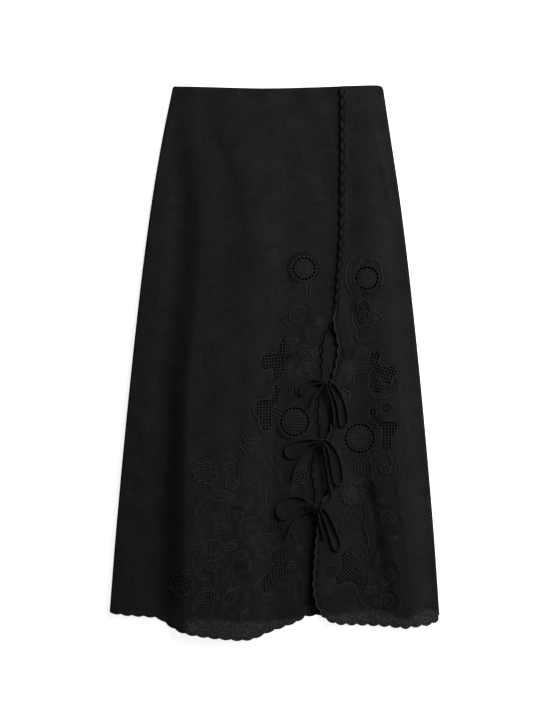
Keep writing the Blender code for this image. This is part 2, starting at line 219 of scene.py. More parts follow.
def plane_spots(piece):
    """Where a piece's points lie in the plane, in millimetres."""
    spots = np.empty(len(piece.data.vertices) * 3)
    piece.data.vertices.foreach_get("co", spots)
    return spots.reshape(-1, 3)[:, :2] / MM


def cloth_panel(name, outline, holes, step, height):
    """A wall of cloth: an outline with holes is filled finely, raised and thickened."""
    loops = [outline] + holes
    edges, first = [], 0
    for loop in loops:
        count = len(loop)
        edges += [(first + i, first + (i + 1) % count) for i in range(count)]
        first += count
    points = [Vector(p) for p in np.vstack(loops)] + [Vector(p) for p in inner_grid(loops, step)]
    inside_only, apart = 1, 1e-5
    spots, _, faces, _, _, _ = delaunay_2d_cdt(points, edges, [], inside_only, apart)
    spots, faces = np.array([tuple(p) for p in spots]), np.array(faces)
    middles = spots[faces].mean(axis=1)
    cut = np.zeros(len(faces), bool)
    for hole in holes:
        near = np.all((middles > hole.min(axis=0)) & (middles < hole.max(axis=0)), axis=1)
        cut[near] |= inside(middles[near], hole)
    z = height(spots[:, 0], WAIST_Y - spots[:, 1])
    panel = mesh_piece(name, np.column_stack([spots, z]), faces[~cut].tolist())
    wall = panel.modifiers.new("cloth thickness", "SOLIDIFY")
    wall.thickness = CLOTH * MM
    wall.offset = 0.0
    return panel


def node(tree, kind, inputs=(), **settings):
    """A shader node with its settings and its sockets' values or links."""
    made = tree.nodes.new(kind)
    for key, value in settings.items():
        setattr(made, key, value)
    for key, value in dict(inputs).items():
        if isinstance(value, bpy.types.NodeSocket):
            tree.links.new(value, made.inputs[key])
        else:
            made.inputs[key].default_value = value
    return made


def noise(tree, place, scale, detail, roughness=0.5):
    """A noise texture over a place."""
    return node(tree, "ShaderNodeTexNoise", {"Vector": place, "Scale": scale, "Detail": detail,
                                             "Roughness": roughness})


def stretched(tree, value, low, high):
    """A value as a share of the way from low to high."""
    return node(tree, "ShaderNodeMapRange",
                {"Value": value, "From Min": low, "From Max": high}).outputs["Result"]


def scaled_sum(tree, value, scale, rest):
    """A value times a scale, and the rest added."""
    return node(tree, "ShaderNodeMath", {0: value, 1: scale, 2: rest},
                operation="MULTIPLY_ADD").outputs[0]


def colour_mix(tree, share, first, second):
    """A colour between two, each three numbers or the output of a node."""
    ends = [end if isinstance(end, bpy.types.NodeSocket) else (*end, 1.0)
            for end in (first, second)]
    return node(tree, "ShaderNodeMix", {"Factor": share, 6: ends[0], 7: ends[1]},
                data_type="RGBA").outputs[2]


def linen(name, dark, light, thread_mm, see_through_light=None):
    """Plain-woven linen with slubs: threads across and down, each thick and thin by turns."""
    material = bpy.data.materials.new(name)
    material.use_nodes = True
    tree = material.node_tree
    shader = tree.nodes["Principled BSDF"]
    place = node(tree, "ShaderNodeTexCoord").outputs["Object"]
    spot = node(tree, "ShaderNodeMapping",
                {"Vector": place, "Scale": (1000, 1000, 1000)}).outputs["Vector"]
    shift = node(tree, "ShaderNodeVectorMath",
                 {0: noise(tree, spot, 0.12, 2.0).outputs["Color"], "Scale": 1.6},
                 operation="SCALE")
    warped = node(tree, "ShaderNodeVectorMath",
                  {0: spot, 1: shift.outputs["Vector"]}, operation="ADD").outputs["Vector"]
    # a wave's bands repeat every pi / 10 of its scale
    bands = [node(tree, "ShaderNodeTexWave",
                  {"Vector": warped, "Scale": math.pi / 10 / thread_mm},
                  wave_type="BANDS", bands_direction=direction).outputs["Fac"]
             for direction in ("X", "Y")]
    over = node(tree, "ShaderNodeTexChecker", {"Vector": warped, "Scale": 1.0 / thread_mm})
    weave = node(tree, "ShaderNodeMix", {"Factor": over.outputs["Fac"], "A": bands[0],
                                         "B": bands[1]}).outputs[0]
    slubs = []
    for stretch in ((0.035, 0.55, 0.3), (0.55, 0.035, 0.3)):
        run = node(tree, "ShaderNodeMapping", {"Vector": spot, "Scale": stretch})
        streaks = noise(tree, run.outputs["Vector"], 1.0, 3.0)
        slubs.append(stretched(tree, streaks.outputs["Fac"], 0.42, 0.72))
    slub = node(tree, "ShaderNodeMath", {0: slubs[0], 1: slubs[1]}, operation="MAXIMUM").outputs[0]
    cloud = noise(tree, spot, 0.03, 4.0).outputs["Fac"]
    # yarn takes the dye unevenly, so the cloth is mottled at a few millimetres
    mottle = noise(tree, spot, 0.30, 3.0, 0.75).outputs["Fac"]
    tone = scaled_sum(tree, slub, 0.55, cloud)
    tone = scaled_sum(tree, mottle, 1.3, tone)
    tone = scaled_sum(tree, weave, 0.25, tone)
    colour = colour_mix(tree, stretched(tree, tone, 1.12, 1.80), dark, light)
    # painted shade: cloth marked by shade() is darkened towards near-black
    painted_shade = node(tree, "ShaderNodeAttribute", attribute_name="painted_shade").outputs["Fac"]
    colour = colour_mix(tree, painted_shade, colour, PAINTED_SHADE_COLOUR)
    if see_through_light:
        # painted light: where one layer lies on the pale surface, lighter specks stand in for the
        # surface showing through between the threads
        single = node(tree, "ShaderNodeAttribute", attribute_name="single_layer").outputs["Fac"]
        specks = noise(tree, spot, 0.34, 3.0, 0.7).outputs["Fac"]
        share = node(tree, "ShaderNodeMath", {0: single, 1: stretched(tree, specks, 0.40, 0.66)},
                     operation="MULTIPLY").outputs[0]
        colour = colour_mix(tree, share, colour, see_through_light)
    tree.links.new(colour, shader.inputs["Base Color"])
    relief = scaled_sum(tree, mottle, 1.6, scaled_sum(tree, slub, 0.7, weave))
    bump = node(tree, "ShaderNodeBump", {"Strength": 0.8, "Distance": 0.00026, "Height": relief})
    tree.links.new(bump.outputs["Normal"], shader.inputs["Normal"])
    shader.inputs["Roughness"].default_value = 0.88
    shader.inputs["Specular IOR Level"].default_value = 0.12
    shader.inputs["Sheen Weight"].default_value = 0.03
    shader.inputs["Sheen Roughness"].default_value = 0.5
    material.diffuse_color = (*light, 1.0)
    return material


def finish_piece(piece, material):
    """Give a piece its material."""
    piece.data.materials.clear()
    piece.data.materials.append(material)


def back_outline():
    """Outline of the back, its hem scalloped."""
    hem = placed(BACK_HEM)
    hem[0, 0] += BACK_INSET
    hem[-1, 0] -= BACK_INSET
    return np.vstack([
        seam(1, BACK_WAIST_DROP + 1.0, 834.0, BACK_INSET),
        scalloped(hem, HEM_PITCH, HEM_DEPTH),
        seam(2, 835.0, BACK_WAIST_DROP + 3.0, BACK_INSET),
        waist_line(168.0, -160.0, BACK_WAIST_DROP),
    ])


def back_height(x, drop):
    """Height of the middle of the back's wall: it lies flat, with a little slack."""
    slack = np.sin(x / 31.0 + drop / 83.0) * np.sin(drop / 57.0 - x / 140.0)
    return CLOTH / 2 + 0.12 * (1.0 + slack)


def shade(panel, discs, outlines=()):
    """Mark cloth to be darkened as painted shade: deep under open work, and in the rings' latticed
    middles.
    """
    spots = plane_spots(panel)
    share = np.zeros(len(spots))
    for x, drop, radius, depth in discs:
        away = np.hypot(spots[:, 0] - x, spots[:, 1] - WAIST_Y + drop)
        share = np.maximum(share, depth * ease((radius - away) / 3.0 + 0.5))
    for outline in outlines:
        middle = outline.mean(axis=0)
        grown = middle + (outline - middle) * 1.25
        share = np.maximum(share, inside(spots, grown))
    panel.data.attributes.new("painted_shade", "FLOAT", "POINT").data.foreach_set("value", share)


black_linen = linen("black linen", (0.0045, 0.0045, 0.0047), (0.0118, 0.0118, 0.0121), 0.62,
                    see_through_light=(0.052, 0.052, 0.0525))
# painted light: the back, which shows in the slit, gets a lighter copy of the linen so that the
# slit's floor looks lit
lit_back_linen = linen("black linen painted lighter", (0.0070, 0.0070, 0.0072), (0.0180, 0.0180, 0.0184), 0.62)
back = cloth_panel("back_linen", back_outline(), [], BACK_GRID, back_height)
finish_piece(back, lit_back_linen)
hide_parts("back_panel")


# ---------------------------------------------------------------------------------------------
# The front's left panel: black linen over the back, with the skirt's long soft folds.
# Its hem and slit edge are scalloped, and two rings of eyelets and the net petals are cut out.
# The upper edge runs on under the lap.
# ---------------------------------------------------------------------------------------------

PANEL_GRID = 4.2
FRONT_LIES_AT = WALL + SEAM_GAP + WALL - CLOTH / 2
UNDERLAP_FROM = 76.0
BILLOW_HEM = (-203.0, 57.0)
# painted shade: how far it reaches in from or out past a ring of eyelets, and a disc of painted
# shadow on the back at the slit's top (x, drop, radius, depth)
RING_PAINTED_SHADE_REACH = 6.0
SLIT_TOP_PAINTED_SHADOW = (98.0, 384.0, 20.0, 0.7)
LAP_STARTS_AT = 340.0
HOLE_WIDTH = 4.4
BAR_WIDTH = 1.7
FOLD_DROPS = (0, 100, 200, 320, 440, 560, 700, 885)

# x, drop of the hem, and drop, x of the open edge
LEFT_HEM = (
    (-263.8, 843), (-240, 847), (-202, 850), (-185, 853.5), (-172, 862), (-158, 870), (-139, 876.5),
    (-108, 882), (-77, 885.5), (-53, 887), (-33, 884.5), (-10, 875), (15, 866), (38, 857),
    (50, 848),
)
LEFT_EDGE = (
    (3, 130), (120, 130), (250, 128), (320, 118), (353, 107), (380, 92), (405, 79), (441, 75.5),
    (478, 75), (522, 69.5), (562, 72), (585, 65.5), (604, 60.5), (625, 60), (657, 64.5),
    (700, 58.5), (790, 56), (833, 53.5),
)

# Each row is a crest or trough that runs down the panel: its x and its height at FOLD_DROPS
LEFT_FOLDS = (
    ("side seam", (-163, -182, -198, -214, -227, -240, -252, -263),
     (0.2, 2, 3.4, 4.8, 5.4, 5.8, 5.8, 4.4)),
    ("side crest", (-161, -173, -181, -190, -199, -208, -216, -224),
     (0.2, 1.4, 3.6, 4.8, 5.4, 5.8, 5.8, 4.4)),
    ("side trough", (-158, -160, -152, -156, -169, -176, -180, -179), (0.2, 0.2, 0, 0, 0, 0, 0, 0)),
    ("billow shoulder", (-128, -126, -115, -118, -132, -138, -140, -140),
     (1.6, 4.8, 8.4, 10.4, 14, 17, 18, 13.6)),
    ("billow dip", (-116, -100, -76, -84, -94, -98, -102, -100),
     (1.6, 3.8, 6.8, 9.2, 12.6, 14.8, 15.6, 11.8)),
    ("billow crest", (-92, -66, -38, -40, -48, -52, -58, -60),
     (2.6, 6, 9.6, 10.8, 11.4, 11.8, 11.6, 8.8)),
    ("soft hollow", (40, 40, 40, 26, 8, 2, -2, 0), (1.4, 1.6, 1.8, 2, 1.8, 1.8, 2.4, 2)),
    ("slit side", (88, 88, 86, 80, 70, 62, 54, 52), (0, 0, 0, 0, 3, 3.4, 2.4, 1.2)),
)

# Rings of eyelets: x, drop, radius of the middle of the holes, number of holes
LEFT_RINGS = ((47, 293.6, 17, 18), (31.8, 538.4, 21.8, 23))

# Net petals: slant of the mesh in degrees, pitch along and across, and an outline of x, drop
LEFT_NETS = (
    (6, 4.9, 4.9, (
        (8, 413), (12.5, 405.5), (18.5, 408), (20, 418), (18, 428), (14.5, 435), (16.5, 441),
        (17.5, 449), (14, 459), (9.5, 467), (3.5, 471.5), (-1.5, 467), (-1.5, 457), (-5, 452),
        (-12, 454.5), (-19, 453), (-23, 446), (-21, 437), (-14, 428.5), (-6, 428), (2, 428.5),
        (6.5, 421),
    )),
    (0, 4.9, 4.9, (
        (-2, 492), (-1, 483), (4, 479.5), (8, 486), (7, 496), (4.5, 505), (0, 510), (-5, 514),
        (-6.5, 524), (-5.5, 535), (-6, 546), (-11, 553.5), (-18.5, 552), (-22.5, 543), (-23, 534),
        (-27.5, 528.5), (-31.5, 519), (-30, 509), (-24, 504), (-15, 503.5), (-8, 502), (-3.5, 499),
    )),
    (4, 3.8, 4.8, (
        (-5, 752), (0, 744), (9, 742), (15.5, 748), (15, 758), (13, 767), (19, 772), (22.5, 781),
        (21, 791), (15, 797), (8, 792), (1, 789), (-4, 795), (-5.5, 804), (-10, 811.5), (-17, 811),
        (-21.5, 802), (-19.5, 791), (-14, 783), (-6.5, 776), (-3, 768), (-5, 760),
    )),
    (12, 3.8, 3.8, (
        (-149, 783), (-140, 786.5), (-135.5, 796), (-138, 807), (-147, 813), (-157, 811),
        (-163.5, 802), (-162, 791), (-156.5, 785),
    )),
)

# Slack in the cloth besides the folds: x, drop, x, drop along it, its width and height
LEFT_CREASES = (
    (12, -10, 84, 140, 22, -1.9), (46, -14, 98, 96, 14, 0.9), (70, 20, 66, 230, 18, -0.4),
    (-128, 90, -96, 190, 9, 0.7), (-104, 60, -58, 180, 10, -0.9), (-60, 170, -50, 260, 10, -0.6),
    (-150, 40, -172, 330, 14, 0.5), (-30, 150, -14, 360, 24, 0.8), (10, 120, 18, 330, 16, -0.5),
    (30, 318, 62, 350, 12, -0.7), (-182, 480, -204, 820, 14, 0.5), (-112, 420, -118, 640, 14, -0.5),
    (-72, 470, -92, 700, 12, 0.5), (-90, 640, -112, 860, 14, -0.7), (-20, 560, -34, 860, 13, 0.5),
    (14, 600, 6, 840, 12, -0.6), (-120, 380, -60, 430, 13, 0.5), (-70, 330, -10, 352, 11, -0.4),
    (-220, 700, -150, 760, 12, -0.4), (44, 486, 4, 452, 8, 0.6), (58, 500, 14, 500, 8, -0.5),
    (56, 590, -6, 640, 10, 0.7), (60, 600, 22, 690, 9, -0.6), (54, 700, 8, 780, 12, 0.7),
    (48, 720, 30, 840, 10, -0.6), (-214, 360, -236, 640, 12, -0.4), (-60, 556, -24, 606, 9, -0.4),
    (-128, 560, -70, 520, 12, 0.4),
)


def fold_height(folds, x, drop):
    """Height of a front panel over the back: each fold eases into the next."""
    lines = [(along(tuple(zip(FOLD_DROPS, places)), drop, 1),
              along(tuple(zip(FOLD_DROPS, heights)), drop, 1)) for _, places, heights in folds]
    high = lines[0][1]
    for (x0, h0), (x1, h1) in zip(lines, lines[1:]):
        high = np.where(x > x0, h0 + (h1 - h0) * ease((x - x0) / (x1 - x0)), high)
    return np.maximum(high, 0.0)


def slack_height(creases, x, drop):
    """Shallow unevenness of cloth that has been folded and shaken out."""
    high = 0.16 * np.sin(x / 9.0 + 1.7 * np.sin(drop / 41.0)) * np.sin(drop / 23.0 - x / 37.0)
    high += 0.20 * np.sin(x / 17.0 - drop / 51.0 + 2.0) * np.sin(drop / 33.0 + 0.9)
    for x0, drop0, x1, drop1, width, rise in creases:
        way = np.array((x1 - x0, drop1 - drop0), float)
        length = np.hypot(*way)
        way /= length
        run = (x - x0) * way[0] + (drop - drop0) * way[1]
        aside = (x - x0) * way[1] - (drop - drop0) * way[0]
        fade = ease(0.5 + 2.0 * (0.5 - np.abs(run / length - 0.5)))
        high += rise * fade * np.exp(-(aside / width) ** 2)
    return high


def left_middle(x, drop):
    """Height of the middle of the left panel's wall. The cloth lies taut under the lap."""
    shown = 1.0 - ease((x - UNDERLAP_FROM) / 20.0)
    return (FRONT_LIES_AT + fold_height(LEFT_FOLDS, x, drop)
            + shown * slack_height(LEFT_CREASES, x, drop))


def ring_holes(rings):
    """Outline of every eyelet in the rings: wedges with rounded corners."""
    holes = []
    turns = np.linspace(0.0, 2 * math.pi, 13)[:-1]
    corner = 0.62
    side, reach = (np.sign(part) * np.abs(part) ** corner
                   for part in (np.cos(turns), np.sin(turns)))
    for x, drop, radius, count in rings:
        half_turn = math.pi / count * (1.0 - BAR_WIDTH * count / (2 * math.pi * radius))
        for k in range(count):
            turn = 2 * math.pi * k / count + side * half_turn
            out = radius + reach * HOLE_WIDTH / 2
            holes.append(np.stack([x + out * np.cos(turn),
                                   WAIST_Y - drop + out * np.sin(turn)], axis=1)[::-1])
    return holes


def net_outlines(nets):
    """Cut edges of the net petals."""
    return [smooth_path(placed(rows), step=2.2, closed=True) for _, _, _, rows in nets]


def single_layer(panel, closeness):
    """Mark the cloth that hangs out past the back's hem, with only the pale surface under it, for
    painted see-through light.
    """
    x, y = plane_spots(panel).T
    past = (WAIST_Y - y) - along(BACK_HEM, x, 1)
    scallop = HEM_DEPTH * (np.abs(np.sin(math.pi * x / HEM_PITCH)) - 0.5)
    # the billow beside the left seam stands too high to let the surface show through
    beside_billow = ease((np.abs(x - BILLOW_HEM[0]) - BILLOW_HEM[1]) / 7.0)
    share = ease((past - scallop + 2.0) / 6.0) * beside_billow
    layer = panel.data.attributes.new("single_layer", "FLOAT", "POINT")
    layer.data.foreach_set("value", share * closeness)


def edge_rows(edge):
    """Rows of x and drop for rows of drop and x."""
    return [(x, drop) for drop, x in edge]


left_shown = [row for row in LEFT_EDGE if row[0] >= LAP_STARTS_AT]
left_hidden = [row for row in LEFT_EDGE if row[0] <= LAP_STARTS_AT]
left_hem_line = placed(LEFT_HEM)
left_slit_line = placed(edge_rows(reversed(left_shown)))
left_outline = np.vstack([
    seam(1, 4.0, 836.0),
    scalloped(left_hem_line, HEM_PITCH, HEM_DEPTH),
    scalloped(left_slit_line, SLIT_PITCH, SLIT_DEPTH),
    smooth_path(placed(edge_rows(reversed(left_hidden))), step=6.0)[:-1],
    waist_line(LEFT_EDGE[0][1], -160.5),
])
left_front = cloth_panel("left_front_linen", left_outline,
                         ring_holes(LEFT_RINGS) + net_outlines(LEFT_NETS), PANEL_GRID, left_middle)
single_layer(left_front, 0.86)
# painted shade between the lattice lines in the rings' middles
shade(left_front, [(x, drop, radius - RING_PAINTED_SHADE_REACH, 0.80) for x, drop, radius, _ in LEFT_RINGS])
finish_piece(left_front, black_linen)
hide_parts("front_left_panel")


# ---------------------------------------------------------------------------------------------
# The front's right panel: a narrow panel of the same linen that laps over the left one from
# the waist down to the slit. Its front edge and hem are one scalloped line.
# ---------------------------------------------------------------------------------------------

RIGHT_HEM = (
    (89, 857), (103, 861.5), (141, 863), (182, 865), (207, 867.5), (221, 865.5), (249, 862),
    (259, 857), (263.4, 849),
)
RIGHT_EDGE = (
    (2, 105), (105, 105.5), (213, 104.5), (265, 103), (354, 96), (380, 94.5), (413, 101.5),
    (432, 100.5), (450, 97), (476, 91.5), (522, 94), (542, 91.5), (578, 81.5), (596, 84), (630, 90),
    (653, 85), (668, 75.5), (695, 71), (727, 66.5), (783, 62.5), (805, 62), (828, 66), (849, 77),
)
RIGHT_FOLDS = (
    ("slit side", (105, 105, 104, 98, 97, 88, 70, 62), (2.4, 2.8, 2.8, 3, 3.2, 4, 7, 6)),
    ("trough", (114, 114, 114, 122, 126, 126, 134, 152), (2.4, 2.6, 2.6, 2.4, 2, 1.6, 1, 0.8)),
    ("crest", (146, 146, 148, 158, 178, 192, 206, 222), (2.2, 4.6, 5.6, 5.8, 7, 8.4, 10, 7.6)),
    ("side seam", (173, 188, 202, 217, 229, 241, 253, 264), (0, 0.2, 0.2, 0.2, 0.2, 0.2, 0.2, 0.2)),
)
RIGHT_RINGS = ((147.4, 309, 17.2, 18), (135.6, 565, 22.3, 23))
RIGHT_NETS = (
    (-18, 4.9, 4.9, (
        (151, 440), (152, 432), (157, 426), (164, 425), (169, 431), (167.5, 440), (166, 447),
        (172, 450.5), (180, 449), (189, 450.5), (194.5, 456), (193.5, 464), (188, 469), (187, 476),
        (180, 478.5), (175.5, 472), (170, 467), (169, 475), (171.5, 484), (169, 491), (161, 491.5),
        (153.5, 485), (150.5, 474), (151, 463), (157, 457.5), (157.5, 450.5), (153, 447),
    )),
    (0, 4.9, 4.9, (
        (152.5, 525), (153, 518), (157.5, 516), (161.5, 520), (163, 528), (168, 534), (175, 537.5),
        (184, 536.5), (193, 538), (195.5, 547), (192, 556), (187.5, 562), (186.5, 572), (183, 582),
        (177, 585), (170.5, 580), (170, 568), (171.5, 557), (170, 548.5), (163.5, 541),
        (156.5, 534),
    )),
    (-45, 4.2, 4.8, (
        (106, 752), (110, 745.5), (117, 750), (119.5, 759), (121, 768), (127, 777), (136, 783.5),
        (143.5, 791), (146, 801), (143, 808), (136, 810), (131, 803.5), (127, 797), (119, 794.5),
        (110, 796), (103, 799), (98, 795), (97.5, 786), (102, 779), (107.5, 772.5), (108.5, 764),
        (105.5, 758),
    )),
)
RIGHT_CREASES = (
    (119, 60, 124, 200, 8, -0.7), (163, 90, 192, 216, 5, 0.9), (130, 190, 196, 226, 7, -0.9),
    (150, 20, 160, 140, 14, 0.35), (176, 260, 200, 520, 14, 0.4), (190, 240, 196, 380, 10, -0.8),
    (110, 316, 138, 404, 9, -1), (124, 318, 150, 392, 9, 0.6), (108, 404, 122, 470, 8, 0.6),
    (110, 480, 130, 520, 8, -0.5), (128, 600, 172, 830, 12, -0.9), (160, 590, 206, 820, 11, 0.6),
    (96, 610, 112, 720, 9, -0.4), (90, 690, 128, 740, 8, 0.5), (222, 420, 236, 640, 10, 0.5),
    (84, 560, 110, 620, 7, 0.5), (112, 120, 128, 150, 7, 0.5), (108, 200, 132, 172, 6, 0.5),
    (146, 620, 184, 820, 7, -1.6),
)


def right_middle(x, drop):
    """Height of the middle of the right panel's wall."""
    return (FRONT_LIES_AT + fold_height(RIGHT_FOLDS, x, drop)
            + slack_height(RIGHT_CREASES, x, drop))


right_edge_line = np.vstack([placed(edge_rows(RIGHT_EDGE)), placed(RIGHT_HEM)])
right_outline = np.vstack([
    scalloped(right_edge_line, SLIT_PITCH, SLIT_DEPTH),
    seam(2, 843.0, 7.0),
    waist_line(171.5, RIGHT_EDGE[0][1] + SLIT_DEPTH),
])
right_front = cloth_panel("right_front_linen", right_outline,
                          ring_holes(RIGHT_RINGS) + net_outlines(RIGHT_NETS), PANEL_GRID,
                          right_middle)
single_layer(right_front, 1.0)
# painted shade in the right rings' middles, and on the back under the eyelets, the net petals and
# the slit's top
shade(right_front,
      [(x, drop, radius - RING_PAINTED_SHADE_REACH, 0.50) for x, drop, radius, _ in RIGHT_RINGS])
shade(back, [(x, drop, radius + RING_PAINTED_SHADE_REACH, 0.9)
             for x, drop, radius, _ in LEFT_RINGS + RIGHT_RINGS] + [SLIT_TOP_PAINTED_SHADOW],
      net_outlines(LEFT_NETS + RIGHT_NETS))
finish_piece(right_front, black_linen)
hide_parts("front_right_panel")


# ---------------------------------------------------------------------------------------------
# Buttonhole-stitched borders: thread worked closely over the scalloped edges, which keeps the
# linen from fraying, with a fine wavy line a few millimetres inside. On the lapping edge the line
# swings against the scallops, and the two make a chain of ovals.
# ---------------------------------------------------------------------------------------------

BORDER_WIDTH = 2.3
WIDE_BORDER = 3.8
BORDER_RISE = 0.5
WAVE_RISE = 0.25
RIM_INSET = 0.36
BORDER_LIFT = 0.15

# Depth, inset and width of the inner wavy line, in step with the scallops or against them
FINE_WAVE = (1.5, 5.4, 1.0)
COUNTER_WAVE = (-4.2, 4.9, 1.7)

# Drops at which the borders change thread, and the threads by their place on a border: painted deep
# shade, painted half shade, satin, painted highlight and hem
LAP_WORK_TO = 360.0
HIGHLIGHT_PAINT_DROPS = (372.0, 430.0)
SLIT_DEEP_FROM = 690.0
HEM_FROM = 838.0
DEEP_SHADE_PAINT, HALF_SHADE_PAINT, SATIN, HIGHLIGHT_PAINT, HEM = range(5)

# Sections of a worked line, from its right side over the top: share of half the width and rise
SATIN_SECTION = ((-1.0, -0.25), (-0.66, 0.66), (0.0, 1.0), (0.66, 0.66), (1.0, -0.25), (0.0, -0.5))
CORD_SECTION = ((-1.0, 0.0), (-0.5, 0.87), (0.5, 0.87), (1.0, 0.0), (0.5, -0.87), (-0.5, -0.87))


def thread_black(name, dark, light, stitch_mm, roughness, gloss=0.12):
    """Stranded black thread: stitches lie side by side across the line that they cover."""
    material = bpy.data.materials.new(name)
    material.use_nodes = True
    tree = material.node_tree
    shader = tree.nodes["Principled BSDF"]
    along_line = node(tree, "ShaderNodeUVMap", uv_map="stitches").outputs["UV"]
    stitches = node(tree, "ShaderNodeTexWave",
                    {"Vector": along_line, "Scale": math.pi / 10 / stitch_mm, "Distortion": 0.6,
                     "Detail": 1.0}, wave_type="BANDS", bands_direction="X").outputs["Fac"]
    strands = noise(tree, along_line, 0.8, 3.0).outputs["Fac"]
    colour = colour_mix(tree, scaled_sum(tree, stitches, 0.5, strands), dark, light)
    tree.links.new(colour, shader.inputs["Base Color"])
    bump = node(tree, "ShaderNodeBump", {"Strength": 0.6, "Distance": 0.0002, "Height": stitches})
    tree.links.new(bump.outputs["Normal"], shader.inputs["Normal"])
    shader.inputs["Roughness"].default_value = roughness
    shader.inputs["Specular IOR Level"].default_value = gloss
    material.diffuse_color = (*light, 1.0)
    return material


def worked_lines(name, lines, surface, section=SATIN_SECTION):
    """Raised lines that follow the cloth. A line is its points, width, rise and closed or not."""
    across, up = np.array(section).T
    ring = len(section)
    spots, lifts, faces, stitch_uv, first = [], [], [], [], 0
    for line, width, rise, closed in lines:
        line = np.asarray(line, float)
        count = len(line)
        taper = np.ones(count)
        if not closed:
            taper[0] = taper[-1] = 0.55
        aside = -sideways(line, closed)
        reach = (across[None, :] * width / 2 * taper[:, None])[..., None] * aside[:, None, :]
        spots.append((line[:, None, :] + reach).reshape(-1, 2))
        lifts.append((up[None, :] * rise * taper[:, None]).ravel())
        loop = np.vstack([line, line[:1]]) if closed else line
        run = np.concatenate([[0.0], np.cumsum(np.linalg.norm(np.diff(loop, axis=0), axis=1))])
        for r in range(count if closed else count - 1):
            here, there = first + r * ring, first + (r + 1) % count * ring
            for k in range(ring):
                n = (k + 1) % ring
                faces.append((here + k, there + k, there + n, here + n))
                stitch_uv += [(run[r], k), (run[r + 1], k), (run[r + 1], k + 1), (run[r], k + 1)]
        if not closed:
            last = first + (count - 1) * ring
            faces.append(tuple(first + k for k in range(ring)))
            faces.append(tuple(last + k for k in reversed(range(ring))))
            stitch_uv += [(run[0], k) for k in range(ring)]
            stitch_uv += [(run[-1], k) for k in reversed(range(ring))]
        first += count * ring
    spots, lifts = np.vstack(spots), np.concatenate(lifts)
    z = surface(spots[:, 0], WAIST_Y - spots[:, 1]) + lifts
    piece = mesh_piece(name, np.column_stack([spots, z]), faces)
    uv = piece.data.uv_layers.new(name="stitches")
    uv.data.foreach_set("uv", np.array(stitch_uv, float).ravel())
    return piece


def left_top(x, drop):
    """Height of the left panel's upper side."""
    return left_middle(x, drop) + CLOTH / 2


def right_top(x, drop):
    """Height of the right panel's upper side."""
    return right_middle(x, drop) + CLOTH / 2


def border_lines(edges, inset_ends=3):
    """Worked edge and inner wavy line for scalloped edges: points, pitch, depth, width, waves."""
    rims, waves = [], []
    for points, pitch, depth, width, (wave_depth, wave_inset, wave_width) in edges:
        rim = scalloped(points, pitch, depth, inset=width * RIM_INSET)
        rims.append((rim, width, BORDER_RISE, False))
        wave = scalloped(points, pitch, wave_depth, inset=wave_inset)
        waves.append((wave[inset_ends:-inset_ends], wave_width, WAVE_RISE, False))
    return rims, waves


def border_thread_at(side, drop, is_wave):
    """Which of the borders' threads is worked at a drop."""
    if side == "back":
        return DEEP_SHADE_PAINT
    if drop > HEM_FROM:
        return HEM
    if side == "left_front":
        return HALF_SHADE_PAINT if drop > SLIT_DEEP_FROM else DEEP_SHADE_PAINT
    if is_wave:
        return HALF_SHADE_PAINT if drop > LAP_WORK_TO else DEEP_SHADE_PAINT
    if drop < LAP_WORK_TO:
        return HALF_SHADE_PAINT
    # painted highlight: the right panel's edge gets the lighter thread where it stands in the light
    lit = HIGHLIGHT_PAINT_DROPS[0] < drop < HIGHLIGHT_PAINT_DROPS[1] or drop > SLIT_DEEP_FROM
    return HIGHLIGHT_PAINT if lit else SATIN


# darker and lighter copies of the black thread: painted shade on the left slit edge, the lap and
# the fine stitches, and a painted highlight on the right panel's lit edge
deep_shade_thread = thread_black("black thread painted as deep shade", (0.0010, 0.0010, 0.0011),
                           (0.0030, 0.0030, 0.0031), 0.45, 0.8, gloss=0.02)
half_shade_thread = thread_black("black thread painted as half shade", (0.0016, 0.0016, 0.0017),
                             (0.0048, 0.0048, 0.0049), 0.45, 0.75, gloss=0.04)
satin_thread = thread_black("black satin thread", (0.0045, 0.0045, 0.0047),
                            (0.022, 0.022, 0.0224), 0.45, 0.55)
highlight_thread = thread_black("black thread painted as highlight", (0.011, 0.011, 0.0112),
                             (0.030, 0.030, 0.0305), 0.45, 0.5)
hem_thread = thread_black("black hem thread", (0.0075, 0.0075, 0.0077),
                          (0.0220, 0.0220, 0.0224), 0.45, 0.6)
border_threads = (deep_shade_thread, half_shade_thread, satin_thread, highlight_thread, hem_thread)
left_edges = ((left_hem_line, HEM_PITCH, HEM_DEPTH, BORDER_WIDTH, FINE_WAVE),
              (left_slit_line, SLIT_PITCH, SLIT_DEPTH, WIDE_BORDER, FINE_WAVE))
right_edges = ((right_edge_line, SLIT_PITCH, SLIT_DEPTH, BORDER_WIDTH, COUNTER_WAVE),)
back_edges = ((placed(BACK_HEM), HEM_PITCH, HEM_DEPTH, BORDER_WIDTH, FINE_WAVE),)
for side, edges, middle in (("left_front", left_edges, left_middle),
                            ("right_front", right_edges, right_middle),
                            ("back", back_edges, back_height)):
    rims, waves = border_lines(edges)
    border = worked_lines(side + "_scalloped_border", rims,
                          lambda x, drop, m=middle: m(x, drop) + BORDER_LIFT)
    wave = worked_lines(side + "_wavy_line", waves,
                        lambda x, drop, m=middle: m(x, drop) + CLOTH / 2)
    for piece in (border, wave):
        finish_piece(piece, border_threads[DEEP_SHADE_PAINT])
        for thread in border_threads[1:]:
            piece.data.materials.append(thread)
        for face in piece.data.polygons:
            face.material_index = border_thread_at(side, WAIST_Y - face.center.y / MM,
                                                   piece == wave)


# ---------------------------------------------------------------------------------------------
# Net in the petals: the linen is cut away and the gap is filled with a square mesh of bars,
# each a few threads wrapped over.
# ---------------------------------------------------------------------------------------------

NET_BAR = 0.95


